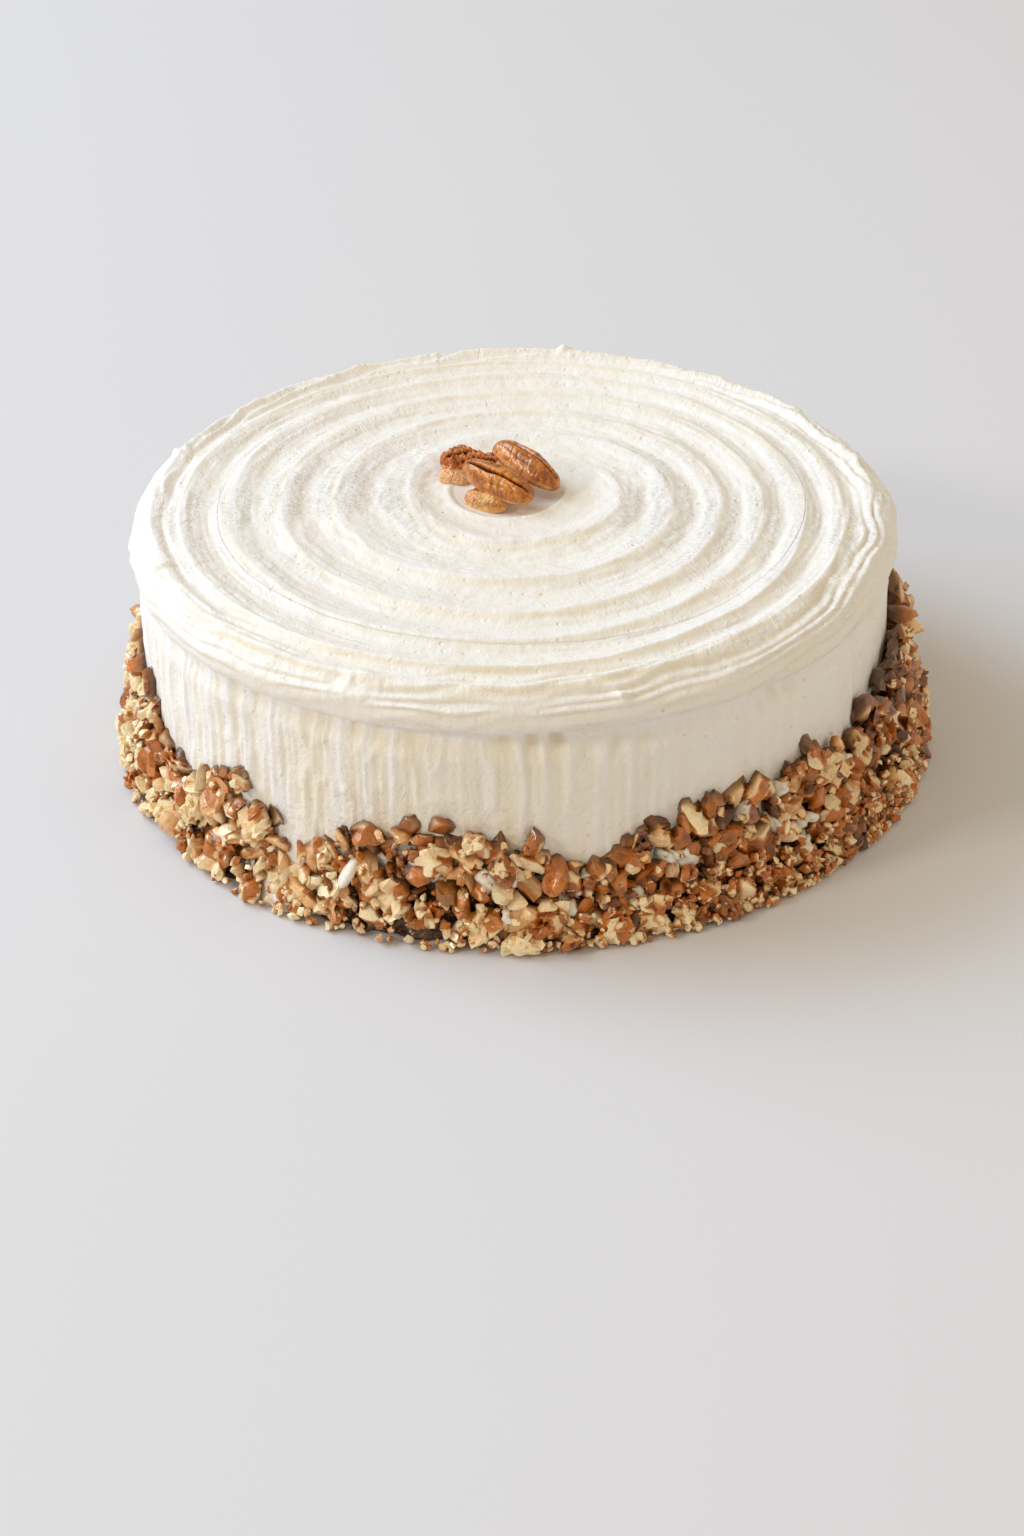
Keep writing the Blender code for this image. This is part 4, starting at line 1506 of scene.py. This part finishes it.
    def crumb_places(self, rng: np.random.Generator) -> tuple[np.ndarray, np.ndarray]:
        """Places the crumbs: most lie in the lower third at the front and right, the rest higher up.

        Args:
            rng: the seeded generator.

        Returns:
            (centres, longest sides).
        """
        count = self.crumbs
        low = rng.random(count) < 0.70
        gathered = low & (rng.random(count) < 0.6)
        theta = self.angles(rng, gathered, -0.75, 0.65)
        level = np.where(low, np.square(rng.random(count)) * 0.42, rng.random(count))
        size = rng.uniform(*self.crumb_sizes, count)
        radius = self.outline.radius(theta, level) - rng.uniform(*self.crumb_depths, count)
        return on_rings(theta, radius, self.outline.height(theta) * level + 0.35 * size), size

    def dab_places(self, rng: np.random.Generator) -> tuple[np.ndarray, np.ndarray]:
        """Places the dabs of frosting: most are at the front right.

        Args:
            rng: the seeded generator.

        Returns:
            (centres, longest sides).
        """
        count = self.dabs
        theta = self.angles(rng, rng.random(count) < 0.7, -1.05, 0.55)
        level = rng.uniform(0.25, 0.98, count)
        size = rng.uniform(*self.dab_sizes, count)
        radius = self.outline.radius(theta, level) - rng.uniform(*self.dab_depths, count)
        return on_rings(theta, radius, self.outline.height(theta) * level), size

    @staticmethod
    def angles(rng: np.random.Generator, gathered: np.ndarray, middle: float, spread: float) -> np.ndarray:
        """Random angles, normal round a middle where gathered is true and even round the cake elsewhere.

        Args:
            rng: the seeded generator.
            gathered: one truth value for each angle.
            middle: the middle of the gathered ones.
            spread: their standard deviation.

        Returns:
            The angles.
        """
        count = len(gathered)
        return np.where(gathered, rng.normal(middle, spread, count), rng.uniform(-math.pi, math.pi, count))

    def pieces_of(
        self, kind: NutKind, centres: np.ndarray, sizes: np.ndarray, rng: np.random.Generator
    ) -> tuple[bpy.types.Mesh, np.ndarray, np.ndarray, np.ndarray]:
        """Breaks one lump for each centre out of a round one.

        A unit ball swells and folds by sums of sines, and flat cuts push what lies past them back onto the
        cut. The lump is then stretched to a box of its own size, turned at random and set down no lower
        than the floor. Lumps at the right get painted shade, a darker skin, and those at the left are barer;
        their paler flesh stands partly for painted light.

        Args:
            kind: the kind of nut.
            centres: an (n, 3) array.
            sizes: the longest side of each.
            rng: the seeded generator.

        Returns:
            One mesh of all the lumps; and for its vertices the share of cut face, the darkness with its
            painted shade in the creases and at the right, and how deep they lie in the gaps, which is painted
            as shade.
        """
        ball, faces = unit_ball(kind.subdivisions)
        count = len(centres)
        unit = np.broadcast_to(ball, (count, *ball.shape))
        lengths = np.array(self.waves)[:, None, None, None]
        waves = rng.normal(0, 1, (len(lengths), count, 1, 3)) * lengths
        phases = rng.uniform(0, TAU, (len(lengths), count, 1))
        swell = [np.sin((unit * wave).sum(-1) + phase) for wave, phase in zip(waves, phases)]
        fold = 1 - np.abs(swell[2])
        crease = fold**self.crease_power
        broad, middle, fine = self.swells
        scale = 1 + broad * swell[0] + middle * swell[1] - kind.folds * crease + fine * swell[3]
        points = 0.5 * unit * scale[..., None]
        cut = np.zeros(points.shape[:2])
        for _ in range(kind.cuts):
            normal = rng.normal(0, 1, (count, 1, 3))
            normal /= np.linalg.norm(normal, axis=-1, keepdims=True)
            reach = rng.uniform(*kind.cut_reach, (count, 1)) + 0.022 * swell[3] + 0.02 * swell[2]
            over = np.maximum((points * normal).sum(-1) - reach, 0)
            points = points - over[..., None] * normal
            cut = np.maximum(cut, smooth_step(over / 0.05))
        low, high = points.min(axis=1, keepdims=True), points.max(axis=1, keepdims=True)
        width, height = rng.uniform(*kind.widths, count), rng.uniform(*kind.heights, count)
        sides = np.stack([np.ones(count), width, height], axis=-1) * sizes[:, None]
        points = ((points - low) / (high - low) - 0.5) * sides[:, None, :]
        theta = np.arctan2(centres[:, 1], centres[:, 0])
        middles = centres + on_rings(theta, self.outline.push(theta), 0 * theta)
        points = np.einsum("nij,nvj->nvi", random_turns(rng, count), points) + middles[:, None, :]
        points[..., 2] += np.maximum(0, -points[..., 2].min(axis=1))[:, None]
        side = 0.5 + 0.5 * np.cos(theta + 0.6)
        # Painted shade: lumps towards the right are darker.
        tone = kind.darkness + self.right_painted_shade * side + self.darkness
        dark = np.clip(tone + kind.spread * rng.normal(0, 0.5, count), 0, 1)
        offsets = (np.arange(count) * len(ball))[:, None, None]
        triangles = (faces[None] + offsets).reshape(-1, 3)
        mesh = new_mesh(kind.name, points.reshape(-1, 3), [triangles], kind.crisp)
        # Painted shade in the creases of each lump.
        shade = np.clip(dark[:, None] + 1.1 * kind.folds * (crease - 0.25), 0, 1)
        # More bare, pale flesh at the left, partly standing for painted light.
        bare = self.left_flesh_and_painted_light * (1 - side) + self.bareness
        bare = bare + self.bareness_spread * rng.normal(0, 1, count)
        cut = np.clip(cut + bare[:, None], 0, 1)
        return mesh, cut.ravel(), shade.ravel(), self.depth_in_gaps(points).ravel()

    def depth_in_gaps(self, points: np.ndarray) -> np.ndarray:
        """How deep points lie in the gaps between the nuts.

        Args:
            points: an array whose last axis is x, y, z.

        Returns:
            0 on the border's face, rising to 1 some millimetres under it.
        """
        x, y, z = np.moveaxis(points, -1, 0)
        theta = np.arctan2(y, x)
        level = np.clip(z / self.outline.height(theta), 0, 1)
        face = self.outline.radius(theta, level) + self.outline.push(theta)
        return smooth_step((face - np.hypot(x, y) - self.gap_start) / self.gap_depth)


def on_rings(theta: np.ndarray, radius: np.ndarray, z: np.ndarray) -> np.ndarray:
    """Points (n, 3) at angles, radii and heights round the cake."""
    return np.column_stack([radius * np.cos(theta), radius * np.sin(theta), z])


def unit_ball(subdivisions: int) -> tuple[np.ndarray, np.ndarray]:
    """An icosphere of radius 1.

    Args:
        subdivisions: how finely it is divided.

    Returns:
        (vertices, triangles).
    """
    bm = bmesh.new()
    bmesh.ops.create_icosphere(bm, subdivisions=subdivisions, radius=1.0)
    points = np.array([vert.co[:] for vert in bm.verts])
    faces = np.array([[vert.index for vert in face.verts] for face in bm.faces])
    bm.free()
    return points, faces


def random_turns(rng: np.random.Generator, count: int) -> np.ndarray:
    """Random rotation matrices from random unit quaternions.

    Args:
        rng: the seeded generator.
        count: how many.

    Returns:
        An (n, 3, 3) array.
    """
    q = rng.normal(0, 1, (count, 4))
    w, x, y, z = (q / np.linalg.norm(q, axis=1, keepdims=True)).T
    rows = (
        (1 - 2 * (y * y + z * z), 2 * (x * y - w * z), 2 * (x * z + w * y)),
        (2 * (x * y + w * z), 1 - 2 * (x * x + z * z), 2 * (y * z - w * x)),
        (2 * (x * z - w * y), 2 * (y * z + w * x), 1 - 2 * (x * x + y * y)),
    )
    return np.stack([np.stack(row, axis=-1) for row in rows], axis=-2)


# ---------------------------------------------------------------- pecans


@dataclass(frozen=True)
class PecanPart:
    """A pecan half or a fragment of one: its size, where it lies and how rough it is."""

    size: tuple[float, float, float]
    centre: Place
    along: Place
    up: Place
    seed: int
    groove: float = 0.42
    ragged: float = 0.0
    paleness: float = 0.0
    rows: int = 150
    columns: int = 190
    end_power: float = 0.80
    dome_share: float = 0.68
    furrow: float = 0.10
    wrinkle: float = 0.055
    knob: float = 0.05

    def surface(self) -> tuple[np.ndarray, np.ndarray, np.ndarray]:
        """The half as a grid.

        The rows run from tip to tip and the columns round each section. A section is an ellipse, taller on
        the domed side, with a groove along its middle, a shallow furrow along each lobe, and cross wrinkles.

        Returns:
            (points, painted channels, places for the grain), each a grid.
        """
        s = np.linspace(0, math.pi, self.rows)
        a = np.linspace(0, TAU, self.columns, endpoint=False)
        sweep, turn = np.meshgrid(s, a, indexing="ij")
        x, ring = -np.cos(sweep), np.sin(sweep) ** self.end_power
        across, rise = np.cos(turn), np.sin(turn)
        dome = smooth_step((rise + 0.02) / 0.35)
        sway = 0.07 * np.sin(2.6 * x + self.seed) + 0.02 * np.sin(9 * x)
        grain = Lattice(200 + self.seed, 64, 64)
        full = 1 - x**6
        middle = bell((across - sway) / (0.105 + 0.03 * np.sin(5 * x))) * dome * full
        furrow = bell((np.abs(across - sway) - 0.64) / 0.11) * dome * (1 - x**2)
        ripple = grain.read(x * 9 + 2.4 * np.abs(across), across * 1.6 + 20)
        wrinkle = np.power(1 - np.abs(ripple), 4) * dome * smooth_step((np.abs(across - sway) - 0.10) / 0.3)
        knobs = grain.read(x * 3.2, across * 2.2 + 31)
        knobs = knobs + 0.5 * grain.read(x * 7.3, rise * 4.1 + across * 3 + 7)
        broken = 0.60 * np.abs(grain.read(x * 3.6 + 5, across * 3.2 + 9))
        broken = broken + 0.35 * np.abs(grain.read(x * 8.5, across * 7 + 3))
        torn = self.ragged * broken * (0.35 + dome)
        inner = (1 - dome) * 0.16 * (bell(across / 0.2) - bell((np.abs(across) - 0.45) / 0.2)) * full
        thick = np.where(rise > 0, self.dome_share, 1 - self.dome_share)
        lift = 1 - self.groove * middle - self.furrow * furrow - self.wrinkle * wrinkle
        lift = lift - torn + self.knob * knobs + inner
        spread = (1 - 0.08 * x) * (1 - 0.03 * wrinkle + 0.035 * knobs - 0.5 * torn)
        length, width, height = self.size
        lengthwise = 0.5 * length * x * (1 - 0.2 * torn)
        sideways = 0.5 * width * ring * across * spread
        upward = thick * height * ring * rise * lift
        local = np.stack([lengthwise, sideways, upward], axis=-1)
        points = local @ np.array(self.turn()).T + np.array(self.centre)
        # Painted highlight: a pale line along the edge between the domed and the flat side, added to the
        # part's own paleness.
        rim = bell((rise - 0.04) / 0.13) * smooth_step((ring - 0.2) / 0.3) * (0.6 + 0.4 * ripple)
        pale = np.clip(rim * 0.7 + self.paleness, 0, 1)
        dark = np.clip(middle * min(1.0, 2.6 * self.groove) + 0.75 * torn, 0, 1)
        channels = np.stack([dark, np.clip(0.65 * wrinkle + 0.45 * furrow, 0, 1), pale], axis=-1)
        return points, channels, np.stack([0.5 * length * x, 0.5 * width * turn], axis=-1)

    def turn(self) -> Matrix:
        """The rotation that lays X along the half and Z as near up as it can.

        Returns:
            A 3 by 3 matrix whose columns are the half's own axes.
        """
        x_axis = Vector(self.along).normalized()
        y_axis = Vector(self.up).cross(x_axis).normalized()
        return Matrix((x_axis, y_axis, x_axis.cross(y_axis))).transposed()


@dataclass(frozen=True)
class Pecan:
    """One pecan of the cluster, made of one or more closed parts."""

    name: str
    parts: tuple[PecanPart, ...]

    def build(self, finish: PecanFinish, slot: str) -> bpy.types.Object:
        """Joins the parts in one mesh, each a closed skin of its own, and paints it.

        Args:
            finish: its skin.
            slot: the record's material slot.

        Returns:
            The piece.
        """
        meshes, channels, places = [], [], []
        for part in self.parts:
            points, paints, grain = part.surface()
            meshes.append(turned_mesh(self.name, points, poles=True))
            channels.append(pole_values(paints))
            places.append(pole_values(grain))
        mesh = join_meshes(self.name, meshes)
        paint(mesh, "pecan", *np.concatenate(channels).T)
        corner = np.empty(len(mesh.loops), np.int32)
        mesh.loops.foreach_get("vertex_index", corner)
        uv = np.concatenate(places)[corner]
        mesh.uv_layers.new(name="grain").data.foreach_set("uv", uv.astype(np.float32).ravel())
        return show(mesh, finish.build(), slot, self.name)


def join_meshes(name: str, meshes: list[bpy.types.Mesh]) -> bpy.types.Mesh:
    """Appends meshes to one another in order and removes the single ones.

    Args:
        name: the joined mesh's name.
        meshes: the meshes.

    Returns:
        The joined mesh.
    """
    bm = bmesh.new()
    for mesh in meshes:
        bm.from_mesh(mesh)
        bpy.data.meshes.remove(mesh)
    joined = bpy.data.meshes.new(name)
    bm.to_mesh(joined)
    bm.free()
    return joined


@dataclass
class PecanCluster:
    """Two whole halves, a broken one with its inner face up, and a pale piece under the front half."""

    front: Pecan = Pecan("pecan_front", (
        PecanPart((0.0260, 0.0104, 0.0082), (-0.0040, -0.0003, 0.0819), (-20, 16, 3.2), (-0.15, -0.37, 0.92),
                  seed=1),
    ))
    right: Pecan = Pecan("pecan_right", (
        PecanPart((0.0262, 0.0106, 0.0086), (0.0044, 0.0090, 0.0822), (-18.6, 18, 5.5), (0.30, -0.02, 0.95),
                  seed=2, groove=0.36),
        PecanPart((0.0075, 0.0050, 0.0034), (-0.0032, 0.0118, 0.0806), (-4, 9, 2), (-0.3, -0.6, 0.7),
                  seed=7, groove=0.1, paleness=0.6, rows=60, columns=80),
    ))
    left: Pecan = Pecan("pecan_left", (
        PecanPart((0.0125, 0.0100, 0.0072), (-0.0155, 0.0180, 0.0806), (10, 3, 1), (-0.3, -0.5, 0.8),
                  seed=3, groove=0.25, ragged=0.42),
        PecanPart((0.0135, 0.0090, 0.0070), (-0.0085, 0.0150, 0.0806), (14, -6, 1), (0.1, -0.5, 0.85),
                  seed=4, groove=0.35, ragged=0.48),
        PecanPart((0.0100, 0.0066, 0.0036), (-0.0172, 0.0122, 0.0776), (9, -3, -0.6), (-0.2, -0.5, 0.8),
                  seed=6, groove=0.0, ragged=0.25, paleness=0.75),
    ))
    chip: Pecan = Pecan("pecan_chip", (
        PecanPart((0.0140, 0.0078, 0.0048), (-0.0076, -0.0032, 0.0772), (15, -8, -1.5), (-0.1, -0.4, 1),
                  seed=5, groove=0.0, ragged=0.10),
    ))
    golden: PecanFinish = PecanFinish(
        "pecan_skin_golden", (0.84, 0.300, 0.040), (0.44, 0.112, 0.010), (0.110, 0.020, 0.003), 0.12
    )
    ruddy: PecanFinish = PecanFinish(
        "pecan_skin_ruddy", (0.78, 0.260, 0.032), (0.38, 0.090, 0.008), (0.090, 0.016, 0.003), 0.11
    )
    inside: PecanFinish = PecanFinish(
        "pecan_inner_face", (0.82, 0.330, 0.100), (0.56, 0.150, 0.034), (0.200, 0.036, 0.008), 0.36
    )
    honey: PecanFinish = PecanFinish(
        "pecan_honeyed", (0.92, 0.560, 0.220), (0.68, 0.260, 0.044), (0.300, 0.070, 0.008), 0.12
    )

    def build(self) -> list[bpy.types.Object]:
        """Makes the pieces.

        Returns:
            The four pieces, each with its own finish.
        """
        return [
            self.front.build(self.golden, "pecan_skin"),
            self.right.build(self.ruddy, "pecan_skin"),
            self.left.build(self.inside, "pecan_inside"),
            self.chip.build(self.honey, "pecan_pale"),
        ]


# ---------------------------------------------------------------- studio


@dataclass(frozen=True)
class Lamp:
    """A square soft light: its name, place, side, power and colour."""

    name: str
    place: Place
    side: float
    power: float
    colour: Colour


@dataclass
class Studio:
    """Camera, floor and soft daylight from the left."""

    place: Place = (-0.0012, -0.6861, 0.4258)
    pitch: float = math.radians(33.02)
    roll: float = -0.0166
    lens: float = 59.7
    sensor: float = 36.0
    floor_side: float = 12.0
    floor_level: float = -0.0002
    target: Place = (0.0, 0.0, 0.04)
    lamps: tuple[Lamp, ...] = (
        Lamp("key_window", (-2.5, 1.0, 2.15), 2.2, 99.0, (0.57, 0.75, 1.0)),
        Lamp("side_window", (-1.9, -0.9, 1.3), 0.4, 14.0, (1.0, 0.97, 0.94)),
        Lamp("right_fill", (2.0, -0.3, 0.9), 1.6, 4.5, (1.0, 0.92, 0.82)),
    )
    air: Colour = (1.0, 0.880, 0.675)
    air_strength: float = 0.600

    def build(self) -> None:
        """Sets up the stage."""
        self.camera()
        self.floor()
        for lamp in self.lamps:
            self.light(lamp)
        world = bpy.data.worlds.new("studio_air")
        world.use_nodes = True
        background = world.node_tree.nodes["Background"]
        background.inputs["Color"].default_value = (*self.air, 1.0)
        background.inputs["Strength"].default_value = self.air_strength
        bpy.context.scene.world = world
        bpy.context.scene.view_settings.view_transform = "Standard"

    def camera(self) -> None:
        """Places the camera: it looks along +Y, tipped down by its pitch, and is rolled a little."""
        data = bpy.data.cameras.new("camera")
        data.lens = self.lens
        data.sensor_width = self.sensor
        item = bpy.data.objects.new("camera", data)
        bpy.context.scene.collection.objects.link(item)
        turn = Matrix.Rotation(math.pi / 2 - self.pitch, 4, "X") @ Matrix.Rotation(self.roll, 4, "Z")
        item.matrix_world = Matrix.Translation(self.place) @ turn
        bpy.context.scene.camera = item

    def floor(self) -> None:
        """Lays the floor just under the cake."""
        mesh = bpy.data.meshes.new("floor")
        bm = bmesh.new()
        bmesh.ops.create_grid(bm, x_segments=2, y_segments=2, size=self.floor_side / 2)
        bm.to_mesh(mesh)
        bm.free()
        mesh.materials.append(FloorFinish().build())
        item = bpy.data.objects.new("floor", mesh)
        bpy.context.scene.collection.objects.link(item)
        item.location.z = self.floor_level

    def light(self, lamp: Lamp) -> None:
        """Adds a light that faces the target.

        Args:
            lamp: the light.
        """
        data = bpy.data.lights.new(lamp.name, "AREA")
        data.size = lamp.side
        data.energy = lamp.power
        data.color = lamp.colour
        item = bpy.data.objects.new(lamp.name, data)
        bpy.context.scene.collection.objects.link(item)
        item.location = lamp.place
        item.rotation_mode = "QUATERNION"
        item.rotation_quaternion = (Vector(self.target) - Vector(lamp.place)).to_track_quat("-Z", "Y")


def main() -> None:
    """Builds every piece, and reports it."""
    logging.basicConfig(level=logging.INFO, format="%(message)s")
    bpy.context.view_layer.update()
    frosting = FrostingFinish()
    FrostedTop().build(frosting)
    FrostedWall().build(frosting)
    NutBorder().build(frosting)
    PecanCluster().build()
    Studio().build()


if __name__ == "__main__":
    main()
